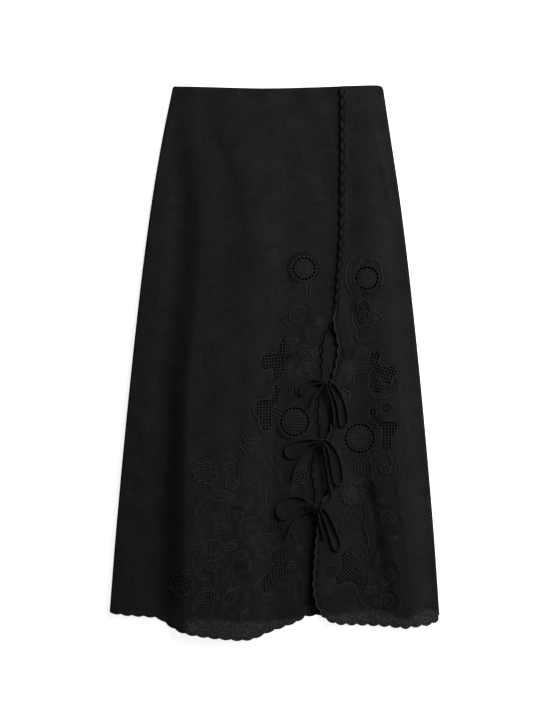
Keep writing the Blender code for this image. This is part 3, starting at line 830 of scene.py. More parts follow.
def hatching(outline, pitch, slant):
    """Parallel straight lines that fill an outline, as pairs of ends."""
    turn = math.radians(slant)
    spin = np.array(((math.cos(turn), math.sin(turn)), (-math.sin(turn), math.cos(turn))))
    flat = outline @ spin.T
    pairs = []
    for y in np.arange(math.floor(flat[:, 1].min() / pitch) * pitch, flat[:, 1].max(), pitch):
        a, b = flat, np.roll(flat, -1, axis=0)
        cross = (a[:, 1] > y) != (b[:, 1] > y)
        if not cross.any():
            continue
        a, b = a[cross], b[cross]
        x = np.sort(a[:, 0] + (b[:, 0] - a[:, 0]) * (y - a[:, 1]) / (b[:, 1] - a[:, 1]))
        for start, end in zip(x[::2], x[1::2]):
            if end - start > pitch * 0.4:
                pairs.append(np.array(((start, y), (end, y))) @ spin)
    return pairs


def net_bars(nets):
    """Bars of every net petal, as lines to work."""
    lines = []
    for (slant, pitch, cross_pitch, _), outline in zip(nets, net_outlines(nets)):
        for way, apart in ((slant, pitch), (slant + 90.0, cross_pitch)):
            for pair in hatching(outline, apart, way):
                lines.append((smooth_path(pair, step=4.5), NET_BAR, NET_BAR / 2, False))
    return lines


net_thread = thread_black("black net thread", (0.0125, 0.0125, 0.0128), (0.0300, 0.0300, 0.0304),
                          0.5, 0.75)
for side, nets, middle in (("left_front", LEFT_NETS, left_middle),
                           ("right_front", RIGHT_NETS, right_middle)):
    net = worked_lines(side + "_net", net_bars(nets), middle, CORD_SECTION)
    finish_piece(net, net_thread)


# ---------------------------------------------------------------------------------------------
# Satin embroidery: lines, leaves and flowers worked over the linen in thread, with the rims of
# the eyelet rings, their latticed middles and the outlines of the net petals.
# ---------------------------------------------------------------------------------------------

LINE_WIDTH = 1.9
FINE_WIDTH = 1.35
LATTICE_WIDTH = 1.4
LATTICE_GAP = 2.4
RIM_WIDTH = 1.4
# lines this narrow or less are worked in the thread painted as half shade
DARK_BELOW = 1.25
LINE_RISE = 1.0
RIM_RISE = 0.35
FINE_RISE = 0.25
STITCH_STEP = 1.8
ROSETTE_GAP = 2.4
SPRIG_LEAF = 6.6
SPRIG_GAP = 4.5


def plain(points, width=LINE_WIDTH, closed=False, step=STITCH_STEP):
    """A worked line through x, drop points."""
    line = smooth_path(placed(points), step=step, closed=closed)
    return (line, width, LINE_RISE * width / LINE_WIDTH, closed)


def circle(x, drop, radius, width=LINE_WIDTH, start=0.0, end=360.0):
    """A worked circle, or an arc of it between two angles in degrees."""
    whole = end - start >= 360.0
    count = max(8, round(math.radians(end - start) * radius / STITCH_STEP))
    turns = np.radians(np.linspace(start, end, count + 1))
    turns = turns[:-1] if whole else turns
    line = np.stack([x + radius * np.cos(turns), WAIST_Y - drop + radius * np.sin(turns)], axis=1)
    return (line, width, LINE_RISE * width / LINE_WIDTH, whole)


def lattice(x, drop, radius, pitch, slants):
    """Fine crossing lines in a disc."""
    outline = circle(x, drop, radius)[0]
    lines = []
    for slant in slants:
        for pair in hatching(outline, pitch, slant):
            lines.append((smooth_path(pair, step=3.5), LATTICE_WIDTH, FINE_RISE, False))
    return lines


def ring_work(rings, lattices):
    """Rims on both sides of each ring of eyelets, and the lattice in its middle."""
    lines = []
    for (x, drop, radius, count), (pitch, slants) in zip(rings, lattices):
        for turn in (np.arange(count) + 0.5) * 2 * math.pi / count:
            ends = [(x + out * math.cos(turn), drop - out * math.sin(turn))
                    for out in (radius - HOLE_WIDTH / 2, radius + HOLE_WIDTH / 2)]
            lines.append(plain(ends, BAR_WIDTH * 0.8))
        for hand in (-1, 1):
            lines.append(circle(x, drop, radius + hand * (HOLE_WIDTH + RIM_WIDTH) / 2, RIM_WIDTH))
        lines += lattice(x, drop, radius - HOLE_WIDTH / 2 - LATTICE_GAP, pitch, slants)
    return lines


def net_rims(nets):
    """Satin rim just outside each net petal."""
    lines = []
    for _, _, _, rows in nets:
        rim = smooth_path(placed(rows), step=STITCH_STEP, closed=True)
        out = sideways(rim, closed=True)
        if np.cross(rim, np.roll(rim, -1, axis=0)).sum() < 0:
            out = -out
        lines.append((rim + out * RIM_WIDTH / 2, RIM_WIDTH, RIM_RISE, True))
    return lines


def lobes(x, drop, radius, petals, turn=0.0, width=LINE_WIDTH, rise=LINE_RISE):
    """A worked outline of round petals."""
    centre = np.array((x, WAIST_Y - drop))
    angle = np.linspace(0.0, 2 * math.pi, petals * 8 + 1)[:-1]
    reach = radius * (0.70 + 0.30 * np.abs(np.sin(petals * angle / 2)))
    bend = angle + math.radians(turn)
    rim = centre + np.stack([np.cos(bend), np.sin(bend)], axis=1) * reach[:, None]
    return (smooth_path(rim, step=STITCH_STEP, closed=True), width, rise, True)


def flower(x, drop, radius, petals, turn=0.0):
    """A worked flower: a lobed outline, an eye and a vein in each petal."""
    centre = np.array((x, WAIST_Y - drop))
    lines = [lobes(x, drop, radius, petals, turn), circle(x, drop, radius * 0.26, FINE_WIDTH)]
    for k in range(petals):
        vein = math.radians(turn) + (k + 0.5) * 2 * math.pi / petals
        way = np.array((math.cos(vein), math.sin(vein)))
        ends = [centre + way * radius * 0.38, centre + way * radius * 0.78]
        lines.append((smooth_path(ends, step=STITCH_STEP), FINE_WIDTH, FINE_RISE, False))
    return lines


def leaf(x, drop, length, width, turn, ribs=3):
    """A worked leaf: pointed outline, a midrib and slanting ribs."""
    centre = np.array((x, WAIST_Y - drop))
    way = np.array((math.cos(math.radians(turn)), math.sin(math.radians(turn))))
    aside = np.array((-way[1], way[0]))
    t = np.linspace(-1.0, 1.0, 9)
    swell = (1.0 - t**2) * (1.0 - 0.25 * t)
    upper = centre + way * t[:, None] * length / 2 + aside * (swell * width / 2)[:, None]
    lower = centre + way * t[:, None] * length / 2 - aside * (swell * width / 2)[:, None]
    rim = np.vstack([upper, lower[-2:0:-1]])
    midrib = [centre - way * length * 0.42, centre + way * length * 0.40]
    lines = [(smooth_path(rim, step=STITCH_STEP, closed=True), LINE_WIDTH * 0.9, 0.3, True),
             (smooth_path(midrib, step=2.5), FINE_WIDTH, FINE_RISE, False)]
    for k in range(ribs):
        root = centre + way * length * (-0.28 + 0.5 * k / max(1, ribs - 1))
        for hand in (-1, 1):
            tip = root + way * width * 0.28 + aside * hand * width * 0.28
            lines.append((smooth_path([root, tip], step=2.0), FINE_WIDTH * 0.9, 0.22, False))
    return lines


def bars(start, end, count, length, turn, width=1.2):
    """A run of short parallel lines between two places."""
    way = np.array((math.cos(math.radians(turn)), -math.sin(math.radians(turn))))
    lines = []
    for t in np.linspace(0.0, 1.0, count):
        x, drop = np.array(start, float) * (1 - t) + np.array(end, float) * t
        reach = way * length / 2
        lines.append(plain([(x - reach[0], drop - reach[1]), (x + reach[0], drop + reach[1])],
                           width))
    return lines


def seeds(x, drop, radius, count, size=1.5):
    """Small round knots, spread evenly in a disc."""
    lines = []
    for k in range(count):
        turn, out = 2.4 * k, radius * math.sqrt((k + 0.5) / count)
        reach = size / 2 * (1.0 - 0.3 * (k % 2))
        lines.append(plain([(x + out * math.cos(turn) - reach, drop + out * math.sin(turn)),
                            (x + out * math.cos(turn) + reach, drop + out * math.sin(turn))],
                           2 * reach, step=reach))
    return lines


def rosette(x, drop, radius, petals, turn=0.0):
    """Lobed outlines one inside the other round an eye, by turns bright and in thread painted as
    shade.
    """
    kinds = ((2.2, 1.0), (DARK_BELOW, 0.3))
    lines = [lobes(x, drop, out, petals, turn, *kinds[k % 2])
             for k, out in enumerate(np.arange(radius, 3.0, -ROSETTE_GAP))]
    return lines + [circle(x, drop, 1.6, FINE_WIDTH)]


def sprig(x, drop, length, turn, bend):
    """A curved stem with slanting stitches on both sides like small leaves."""
    stem, heading = [(x, drop)], math.radians(turn)
    count = max(3, round(length / SPRIG_GAP))
    lines = []
    for k in range(count):
        x, drop = x + length / count * math.cos(heading), drop - length / count * math.sin(heading)
        stem.append((x, drop))
        for hand in (-1, 1):
            way = heading + hand * 0.85
            reach = SPRIG_LEAF * (1.0 - 0.4 * k / count)
            tip = (x + reach * math.cos(way), drop - reach * math.sin(way))
            lines.append(plain([(x, drop), tip], 1.5, step=1.6))
        heading += math.radians(bend) / count
    return lines + [plain(stem, 1.3)]


def motif_lines(motifs):
    """The worked lines of a table of motifs."""
    lines = []
    for kind, *values in motifs:
        made = kind(*values)
        lines += made if isinstance(made, list) else [made]
    return lines


# Sprigs between the larger motifs: x, drop of the root, length, heading and bend in degrees
LEFT_SPRIGS = (
    (-128, 690, 34, 80, -40), (-118, 726, 26, 100, 30), (-100, 722, 24, 60, 30),
    (-76, 714, 28, 120, -40), (-60, 728, 24, 70, 40), (-30, 726, 24, 80, -30),
    (-66, 652, 22, 80, -50), (-30, 660, 20, 60, 30), (-22, 690, 20, 100, -40),
    (-96, 802, 26, 75, 40), (-84, 790, 22, 50, 30), (-128, 784, 24, 60, -30),
    (-60, 802, 22, 100, 30), (-34, 808, 22, 80, -40), (-88, 846, 22, 60, 40),
    (-54, 862, 22, 100, -30), (-132, 842, 22, 70, 30), (-112, 860, 20, 40, 30),
    (-26, 850, 20, 60, -30), (-76, 600, 20, 60, 40), (-40, 592, 20, 75, -30),
    (-28, 602, 20, 80, 30), (8, 640, 24, 80, 30), (6, 604, 16, 100, 20), (24, 656, 18, 60, 20),
    (50, 652, 18, 110, -20), (20, 472, 24, 70, 20), (62, 474, 20, 110, 20), (56, 410, 20, 120, -30),
    (12, 716, 22, 70, -30), (36, 734, 20, 100, 30), (46, 812, 22, 100, -20), (30, 826, 20, 80, 30),
)
RIGHT_SPRIGS = (
    (150, 700, 22, 70, 30), (200, 660, 22, 100, -30), (206, 706, 24, 90, 30),
    (90, 742, 18, 80, -20), (158, 770, 22, 60, 30), (200, 780, 22, 100, 30),
    (112, 632, 18, 110, 20), (146, 640, 18, 70, -20), (104, 520, 20, 80, 30),
    (200, 500, 20, 100, -20), (212, 560, 24, 90, 20), (122, 420, 18, 90, 20),
)

# Motifs: the function that works each one, and its values
LEFT_MOTIFS = (
    # round the upper ring
    (circle, 47, 293.6, 23.6, 1.2, 60, 262), (circle, 47, 293.6, 26.6, 1.2, 72, 240),
    (circle, 47, 293.6, 23.4, 1.2, -50, 40), (circle, 36.5, 318, 4.6, 1.3, 150, 390),
    (circle, 45, 321.5, 4.8, 1.3, 160, 380), (circle, 54.5, 320.5, 4.6, 1.3, 150, 390),
    (plain, ((49, 327), (50.5, 333), (50, 340))), (plain, ((58, 326), (56, 333), (57.5, 342))),
    # flower below the upper ring
    (seeds, 28, 344, 6.5, 11), (seeds, 14, 357, 6.5, 11), (seeds, 36, 367, 9, 19),
    (circle, 28, 344, 8.6, 1.3), (circle, 13.5, 357.5, 8.6, 1.3, 60, 320),
    (circle, 36, 367, 12.5, 1.4), (plain, ((9, 366), (12, 377), (20, 383), (27, 388))),
    (circle, 49, 357, 7, 1.2, -110, 110), (circle, 50, 374, 6, 1.2, -120, 100),
    (leaf, 72, 378, 14, 7, 60, 2),
    # between the net petals
    (bars, (14.5, 435.5), (28, 433), 5, 8.5, 90), (lattice, 52, 448, 9, 4.4, (10, 100)),
    (circle, 52, 448, 10.5), (leaf, 64, 428, 20, 8, 80), (leaf, 24, 452, 14, 6, 60, 2),
    (bars, (34, 428), (50, 431), 4, 7, 14), (bars, (53, 430), (58, 440), 4, 9, 16),
    (seeds, 41, 441, 8, 15), (leaf, 38.5, 458, 15, 7, 80, 2), (leaf, 30, 409, 18, 9, 20),
    (bars, (2, 470), (-12, 472), 4, 11, 62), (plain, ((23, 478), (25, 488), (24, 500))),
    (plain, ((27.5, 477), (29, 489), (28, 502))), (plain, ((32.5, 478), (34.5, 489), (36, 498))),
    (plain, ((-4, 512), (2, 516), (9, 519))), (plain, ((-4, 517.5), (3, 523), (10, 526))),
    (plain, ((-4, 524), (2, 529), (9, 532))), (circle, 31.8, 538.4, 29, 1.2, 195, 262),
    (circle, 31.8, 538.4, 32.2, 1.2, 200, 250),
    (plain, ((-35, 514), (-35, 526), (-29, 534), (-26.5, 545), (-22, 556), (-12, 559)), 1.2),
    # left of the lower ring
    (plain, ((-52, 559), (-46, 571), (-33, 571.5), (-23, 563))),
    (plain, ((-46, 556), (-42, 565), (-33, 566), (-27, 560)), 1.3),
    (plain, ((-57, 577), (-50, 584), (-45, 593))),
    (plain, ((-49, 576), (-42, 584), (-38, 594)), 1.3),
    (plain, ((-55, 596), (-56.5, 620), (-55.6, 644)), 1.3),
    (plain, ((-51.5, 596), (-52, 620), (-51.7, 644)), 1.3),
    (plain, ((-48, 596), (-47.5, 620), (-47.8, 644)), 1.3),
    (plain, ((-44.5, 596), (-43, 620), (-43.9, 644)), 1.3),
    (bars, (-55, 605), (-45, 640), 8, 11, 4, 1.3), (flower, -33, 634, 10, 6, 15),
    (plain, ((-14, 592), (-8, 594), (-4, 600))), (circle, -10, 606, 7, 1.3),
    (plain, ((-17, 612), (-10, 617), (-4, 613))),
    (plain, ((-13, 636), (-15, 665), (-13, 702)), 1.3), (rosette, -111, 622, 20, 8, 10),
    (plain, ((-108, 634), (-102, 643), (-97, 651))),
    (plain, ((-103, 632), (-98, 641), (-92, 648)), 1.3), (flower, -70, 636, 10, 5, 40),
    (flower, -73, 611, 9, 5, 0), (plain, ((-66, 592), (-62, 600), (-66, 606)), 1.3),
    (plain, ((-82, 598), (-86, 606), (-82, 614)), 1.3), (plain, ((-92, 608), (-86, 616)), 1.3),
    (leaf, -85, 656, 46, 15, -4, 5),
    (plain, ((-111, 652), (-108, 668), (-106, 684), (-110, 700)), 1.3), (leaf, -94, 688, 18, 8, 0),
    (leaf, -88, 704, 22, 9, -20), (bars, (-66, 674), (-53, 676), 4, 7, 80),
    (flower, -59, 689, 8.5, 6, 0), (plain, ((-57, 699), (-47, 693), (-35, 692), (-24, 685))),
    (plain, ((-60, 704), (-50, 701), (-46, 712)), 1.3), (leaf, -42, 668, 20, 9, 60),
    (leaf, -38, 706, 20, 8, 15),
    # low on the left
    (plain, ((-133, 736), (-113, 731), (-95, 727), (-80, 735))),
    (plain, ((-99, 753), (-91, 741), (-76, 732), (-58, 726))),
    (plain, ((-106, 729), (-102, 742), (-104, 757)), 1.3),
    (plain, ((-126, 744), (-131, 757), (-131, 770)), 1.3), (leaf, -71, 738, 24, 10, 22),
    (leaf, -54, 751, 26, 11, 0, 4), (leaf, -88, 752, 18, 8, -30), (leaf, -112, 741, 16, 7, 70),
    (lattice, -35, 731, 8, 4, (35, 125)), (circle, -35, 731, 9.5, 1.4),
    (leaf, -24, 749, 16, 8, -50), (flower, -101, 768, 10, 5, 20), (leaf, -117, 785, 18, 8, -35),
    (bars, (-62, 768), (-44, 768), 5, 15, 84), (leaf, -41, 767, 16, 7, 75),
    (bars, (-58, 784), (-38, 784), 5, 8, 88), (rosette, -106, 818, 16, 8),
    (plain, ((-131, 811), (-125, 822), (-118, 832))),
    (plain, ((-127, 808), (-121, 819), (-114, 828)), 1.3), (leaf, -72, 818, 34, 16, 55, 5),
    (leaf, -66, 804, 22, 8, 20), (leaf, -44, 819, 14, 7, 80), (leaf, -46, 841, 12, 6, 60),
    (plain, ((-18, 717), (-8, 719), (0, 729))), (plain, ((-12, 736), (-4, 740), (0, 747)), 1.3),
    (bars, (-10, 708), (20, 706), 7, 15, 86, 1), (bars, (-20, 735), (-14, 750), 3, 10, 10, 1),
    (flower, 27, 768, 7, 5, 10), (leaf, 38, 741, 13, 6, 50),
    (bars, (35, 752), (40, 762), 3, 9, 6, 1), (leaf, 40, 786, 12, 6, 100),
    (plain, ((-22, 813), (-12, 817), (-3, 813)), 1.3),
    (plain, ((6, 800), (16, 802), (25, 795)), 1.3), (lobes, -149, 797.5, 21, 10, 0),
    (rosette, 42, 625, 12, 6), (rosette, 48, 426, 10, 6, 20),
)
RIGHT_MOTIFS = (
    # petals and stems round the upper ring
    (plain, (
        (126, 301), (128, 292.5), (134, 288.5), (136.5, 283), (141, 278.5), (148, 277.5),
        (154, 281.5), (160, 279.5), (167, 284.5), (169.5, 293), (171.5, 302), (172.5, 312),
        (170, 321),
    )),
    (circle, 131, 318, 4.4, 1.4), (circle, 147.4, 309, 24, 1.2, -75, -20),
    (plain, ((126, 274), (118, 284), (113.5, 297), (113, 311), (116.5, 324), (123, 336))),
    (plain, ((122, 288), (119.5, 300), (121, 314), (126, 327), (134, 339)), 1.3),
    (plain, ((128, 322), (134, 330), (140, 337)), 1.3), (circle, 143, 331, 4.4, 1.2, 180, 360),
    (circle, 151, 331, 4.4, 1.2, 180, 360), (circle, 159, 331, 4.4, 1.2, 180, 360),
    (seeds, 150, 330, 5.5, 9),
    (plain, ((132, 362), (133, 350), (140, 343), (148, 345), (152, 354), (152.5, 366))),
    (plain, ((137, 363), (138, 353), (143, 348.5), (148, 353), (148, 361)), 1.2),
    (plain, ((153, 367), (160, 362.5), (168, 369), (173, 377))),
    (bars, (158, 352), (158, 386), 9, 6, 0, 1.3), (bars, (155.5, 369), (161, 369), 2, 33, 90, 1.3),
    (lattice, 161, 373, 5.5, 3.6, (0, 90)), (flower, 143, 371, 9.5, 5, 18),
    (plain, ((134, 391), (140, 386), (149, 385), (160, 389))),
    (bars, (138, 394), (160, 395), 6, 11, 74, 1.3), (leaf, 148, 404, 26, 8, 8),
    (plain, ((124, 366), (125, 379), (130, 391), (131, 406), (137, 411))),
    (plain, ((130, 372), (132, 382), (136, 390)), 1.3),
    # between the slit and the net petals
    (bars, (110, 432), (127, 430), 5, 18, 88, 1.1), (bars, (138, 442), (138, 454), 4, 21, 0, 1.4),
    (rosette, 112, 496, 9, 6), (lattice, 117, 452, 10, 4.4, (0, 90)), (seeds, 139, 471, 10, 19),
    (circle, 117, 452, 12, 1.3), (circle, 139, 471, 13, 1.3), (leaf, 140, 426, 22, 9, 20),
    (leaf, 118, 470, 14, 7, 70), (bars, (180, 480), (188, 483), 3, 9, 88, 1.1),
    (bars, (194, 470), (194, 477), 3, 8, 0, 1.1),
    (plain, ((152, 495), (162, 500), (175, 499.5), (187, 494)), 1.3), (circle, 178, 516, 9.5, 1.4),
    (plain, ((160, 508), (165, 520), (172, 529)), 1.3), (circle, 178, 516, 5.5, 1),
    (seeds, 170, 421, 4, 6), (bars, (160, 546), (152, 540), 3, 13, 60, 1.1),
    # below the lower ring
    (circle, 108, 584, 6.5, 1.3, 185, 355), (circle, 119, 590, 6.5, 1.3, 185, 355),
    (circle, 131, 592, 6.5, 1.3, 185, 355), (circle, 143, 591, 6.5, 1.3, 185, 355),
    (circle, 155, 586, 6.5, 1.3, 185, 355), (bars, (129, 612), (148, 612), 5, 25, 88, 1.3),
    (leaf, 133, 632, 22, 8, 10), (leaf, 101, 590, 12, 5, 60, 2),
    (lattice, 124, 654, 12, 4.2, (8, 98)), (circle, 124, 654, 14, 1.5),
    (lobes, 124, 654, 19.5, 10, 0), (bars, (97, 640), (108, 664), 5, 10, 6, 1),
    (plain, ((117, 675), (111, 687), (108, 700)), 1.3),
    (plain, ((118, 675), (117, 688), (115, 701)), 1.3),
    (plain, ((119, 675), (122, 688), (124, 700)), 1.3),
    (plain, ((116, 676), (106, 683), (99, 688)), 1.3),
    (plain, ((121, 676), (130, 683), (136, 688)), 1.3),
    (plain, ((143, 672), (147, 690), (143, 706), (149, 724), (150, 742))),
    (plain, ((151, 598), (155, 611), (157, 628), (162, 642))),
    (plain, ((158, 602), (161, 616), (158, 626)), 1.3),
    (bars, (154, 640), (160, 655), 3, 14, 62, 1.1), (leaf, 161, 687, 40, 16, -58, 5),
    (leaf, 182, 690, 27, 14, -40, 4), (leaf, 168, 664, 16, 7, -5),
    (bars, (165, 728), (173, 728), 3, 17, 88, 1.2),
    (plain, ((181, 588), (187, 601), (184, 617), (178, 622))),
    (plain, ((192, 588), (197, 604), (199, 619), (191, 636)), 1.3), (flower, 176, 614, 8, 5, 0),
    (leaf, 188, 724, 18, 6, 0, 3), (bars, (104, 704), (104, 722), 3, 8, 70, 1),
    (seeds, 104, 712, 4, 5), (flower, 136, 746, 13, 6, 0), (circle, 141, 748, 14.5, 1.3, -60, 50),
    # round the low net petal and along the hem
    (bars, (91, 771), (91, 784), 4, 17, 0, 1.2), (leaf, 90, 795, 13, 7, 80),
    (plain, ((77, 789), (74, 798), (78, 806)), 1.3),
    (plain, ((101, 812), (103, 820), (105, 828)), 1.3),
    (plain, ((107, 811), (109, 820), (110, 829)), 1.3),
    (plain, ((126, 820), (126.5, 829), (126, 837)), 1.5),
    (plain, ((129, 810), (135, 821), (140, 834)), 1.3), (circle, 147, 830, 5.4, 1.3),
    (plain, ((124, 766), (130, 771), (138, 776)), 1.3),
    (plain, ((150, 781), (151, 792), (149, 801)), 1.3), (leaf, 85, 808, 12, 6, 110, 2),
    (leaf, 156, 807, 18, 8, 38), (bars, (140, 812), (153, 822), 4, 11, 60, 1),
    (plain, (
        (169, 829), (170, 820), (178, 815), (187, 819), (189, 828), (184, 835), (177, 834),
        (174, 828), (178, 824),
    ), 1.4),
    (plain, (
        (178, 807), (190, 808), (198, 816), (200.5, 827), (196, 838), (187, 844), (175, 846),
    ), 1.4),
    (leaf, 185, 783, 22, 8, 86, 3), (flower, 165, 829, 6, 5, 0), (leaf, 176, 797, 14, 6, 10, 2),
)

for side, rings, upper_slants, nets, motifs, sprigs, top in (
        ("left_front", LEFT_RINGS, (45, 135), LEFT_NETS, LEFT_MOTIFS, LEFT_SPRIGS, left_top),
        ("right_front", RIGHT_RINGS, (40, 130), RIGHT_NETS, RIGHT_MOTIFS, RIGHT_SPRIGS,
         right_top)):
    lines = ring_work(rings, ((4.3, upper_slants), (4.8, (0, 90))))
    lines += net_rims(nets) + motif_lines(motifs)
    for row in sprigs:
        lines += sprig(*row)
    # outlines catch the light, and the close fine stitches inside them get the thread painted
    # darker as shade
    wide = [line for line in lines if line[1] > DARK_BELOW]
    narrow = [line for line in lines if line[1] <= DARK_BELOW]
    finish_piece(worked_lines(side + "_satin", wide, top), satin_thread)
    finish_piece(worked_lines(side + "_fine_satin", narrow, top), half_shade_thread)


# ---------------------------------------------------------------------------------------------
# Side seams and waist: the front and the back are sewn together and pressed, so the cloth
# turns round from one to the other in a narrow fold.
# ---------------------------------------------------------------------------------------------

SEAM_BULGE = 0.9
SEAM_BACKSET = 0.5
TURNING = 2.0


def turned_edge(name, line, top):
    """Cloth that turns down to the surface along a line with the skirt on its left."""
    outward = sideways(line)
    high = top(line[:, 0], WAIST_Y - line[:, 1])
    rows = []
    for turn in np.linspace(math.pi / 2, -math.pi / 2, 7):
        out = SEAM_BULGE * math.cos(turn) - SEAM_BACKSET
        z = high / 2 + (high / 2 + 0.04) * math.sin(turn)
        rows.append(np.column_stack([line + outward * out, np.maximum(z, 0.02)]))
    for z in (np.full(len(line), 0.05), high - 0.25):
        rows.append(np.column_stack([line - outward * TURNING, z]))
    spots = np.stack(rows, axis=1)
    count, ring = spots.shape[:2]
    faces = [(r * ring + k, r * ring + (k + 1) % ring, (r + 1) * ring + (k + 1) % ring,
              (r + 1) * ring + k) for r in range(count - 1) for k in range(ring)]
    faces.append(tuple(reversed(range(ring))))
    faces.append(tuple((count - 1) * ring + k for k in range(ring)))
    finish_piece(mesh_piece(name, spots.reshape(-1, 3), faces), black_linen)


turned_edge("left_side_seam", seam(1, 3.0, 842.0), left_top)
turned_edge("right_side_seam", seam(2, 848.0, 5.0), right_top)
turned_edge("left_waist_edge", waist_line(106.0, -161.5), left_top)
turned_edge("right_waist_edge", waist_line(172.4, 106.5), right_top)

# a short row of stitches holds the inside of the waist to the right panel
stitch_row = [plain([(x, 35.3), (x + 1.9, 35.2)], 0.7) for x in np.arange(109.0, 162.0, 3.2)]
topstitching = worked_lines("waist_topstitching", stitch_row, right_top)
finish_piece(topstitching, satin_thread)


# ---------------------------------------------------------------------------------------------
# The ties: narrow tubes of the same linen, sewn to the slit's edges and tied in three bows.
# ---------------------------------------------------------------------------------------------

TIE_DIAMETER = 3.0
TIE_STEP = 6.0
TIE_CLEARANCE = 0.25
KNOT_SIZE = (8.0, 9.2, 6.8)
KNOT_RISE = 6.0
KNOT_REACH = 14.0
ROOT_RISE = 2.7
ROOT_GAP = 0.5
LOOP_RISE = 0.8
TAIL_FALL = -0.9
TAIL_TIP = 0.82
WRAP_SIZE = (0.85, 1.05, 1.7)

BOWS = {
    "bow1": {
        "knot": (81, 474.5),
        "loop_left": (
            (76.6, 472.6), (62.5, 471), (53.5, 473.5), (45.5, 480.5), (40, 487.5), (39, 493.5),
            (43.5, 497), (49.5, 493.5), (54, 487), (59.5, 481), (67, 477.6), (76.6, 476.4),
        ),
        "tail_left": ((78.6, 479.7), (72, 488), (65.5, 495), (60, 505), (57, 515)),
        "loop_right": (
            (86, 472.6), (94.5, 477), (102.5, 488), (109.5, 501.5), (114, 516), (116.5, 529),
            (116, 540), (110, 547), (104, 543), (102.8, 533.5), (101.5, 521), (98.5, 506.5),
            (92.5, 491), (85.8, 476.8),
        ),
        "tail_right": (
            (83.2, 479.7), (86, 490.5), (90, 503), (93, 517.5), (94.5, 532), (95.5, 545),
        ),
    },
    "bow2": {
        "knot": (74.5, 569),
        "loop_left": (
            (70.1, 567), (59, 566), (48, 567), (35, 569), (25, 573), (18, 580), (16, 587.5),
            (20.5, 595), (28.5, 597), (36, 593.5), (41.5, 586.5), (46.5, 580.5), (54, 575),
            (62, 571.8), (70.1, 570.9),
        ),
        "tail_left": (
            (72, 574.2), (61.5, 579.5), (51.5, 586.5), (43.5, 595), (37.5, 603.5), (33, 613.5),
            (29, 625), (26.5, 635),
        ),
        "loop_right": (
            (78.9, 567), (87, 569.5), (95, 578.5), (101.5, 591), (106, 605), (108.5, 618.5),
            (109, 630.5), (104.5, 639), (98, 639.5), (94, 631), (92, 619), (90, 605.5), (87.5, 592),
            (84, 580), (78.9, 571),
        ),
        "tail_right": (
            (76.8, 574.2), (79, 588), (81, 601), (83.5, 613.5), (85.5, 626.5), (87.5, 639),
            (90, 650.5), (92, 657.5),
        ),
    },
    "bow3": {
        "knot": (66.5, 673.5),
        "loop_left": (
            (62.1, 675.5), (53, 672.6), (45.5, 673.5), (37.5, 678.5), (29.5, 685.5), (22.5, 692),
            (15, 695), (7.5, 693), (2.8, 686.5), (2.5, 677.5), (6.5, 669), (13.5, 662.5),
            (22.5, 659), (32, 658), (41.5, 659.2), (49.5, 662.5), (55.5, 667), (62.1, 671.5),
        ),
        "tail_left": (
            (64, 678.7), (54.5, 682), (45, 686), (36, 691.5), (29, 699), (24, 708), (20, 717.5),
            (17, 728),
        ),
        "loop_right": (
            (71.8, 671.6), (79, 676.5), (87, 688), (93.5, 701), (99, 714.5), (103.5, 727),
            (106, 736.5), (102, 744), (95, 742.5), (91, 733), (87.5, 720), (83, 706.5), (78, 691),
            (71.6, 675.8),
        ),
        "tail_right": ((68.8, 678.7), (70.5, 692), (73, 705), (76, 717), (79, 727)),
    },
}


def cloth_top(x, drop):
    """Height of the front's upper side, carried across the open slit."""
    left_edge = along(LEFT_EDGE, drop, 1)
    right_edge = along(RIGHT_EDGE, drop, 1) - 2 * SLIT_DEPTH
    left = left_top(np.minimum(x, left_edge), drop)
    right = right_top(np.maximum(x, right_edge), drop)
    return left + (right - left) * ease((x - left_edge) / np.maximum(1.0, right_edge - left_edge))


def edge_height(folds, edge, drop):
    """How far an edge of the slit is lifted at a drop."""
    return float(fold_height(folds, along(edge, drop, 1), drop))


def knot_middle(drop):
    """Height of a knot, which sits over the higher of the slit's two edges."""
    return KNOT_RISE + max(edge_height(LEFT_FOLDS, LEFT_EDGE, drop),
                           edge_height(RIGHT_FOLDS, RIGHT_EDGE, drop))


def tie_route(route, knot, rise):
    """Points of a tube that comes out of the knot and lies on the cloth."""
    x, drop = smooth_path(route, step=TIE_STEP).T
    near = [cloth_top(x + aside, drop) for aside in (-TIE_DIAMETER, 0.0, TIE_DIAMETER)]
    lie = np.max(near, axis=0) + TIE_DIAMETER / 2 + TIE_CLEARANCE
    start = math.hypot(KNOT_SIZE[0], KNOT_SIZE[1]) / 2 - 1.0
    lift = ease(1.0 - (np.hypot(x - knot[0], drop - knot[1]) - start) / KNOT_REACH)
    knot_end = knot_middle(knot[1]) + rise
    return np.column_stack([x, WAIST_Y - drop, lie + (knot_end - lie) * lift])


def tube(name, points, diameter, closed=False):
    """A tube of fabric along its points, in millimetres."""
    curve = bpy.data.curves.new(name, "CURVE")
    curve.dimensions = "3D"
    curve.bevel_depth = 1.0
    curve.bevel_resolution = 3
    curve.use_fill_caps = True
    spline = curve.splines.new("POLY")
    spline.points.add(len(points) - 1)
    for spline_point, point in zip(spline.points, points):
        spline_point.co = (*(value * MM for value in point), 1.0)
        spline_point.radius = diameter / 2 * MM
    spline.use_cyclic_u = closed
    piece = bpy.data.objects.new(name, curve)
    bpy.context.scene.collection.objects.link(piece)
    return piece


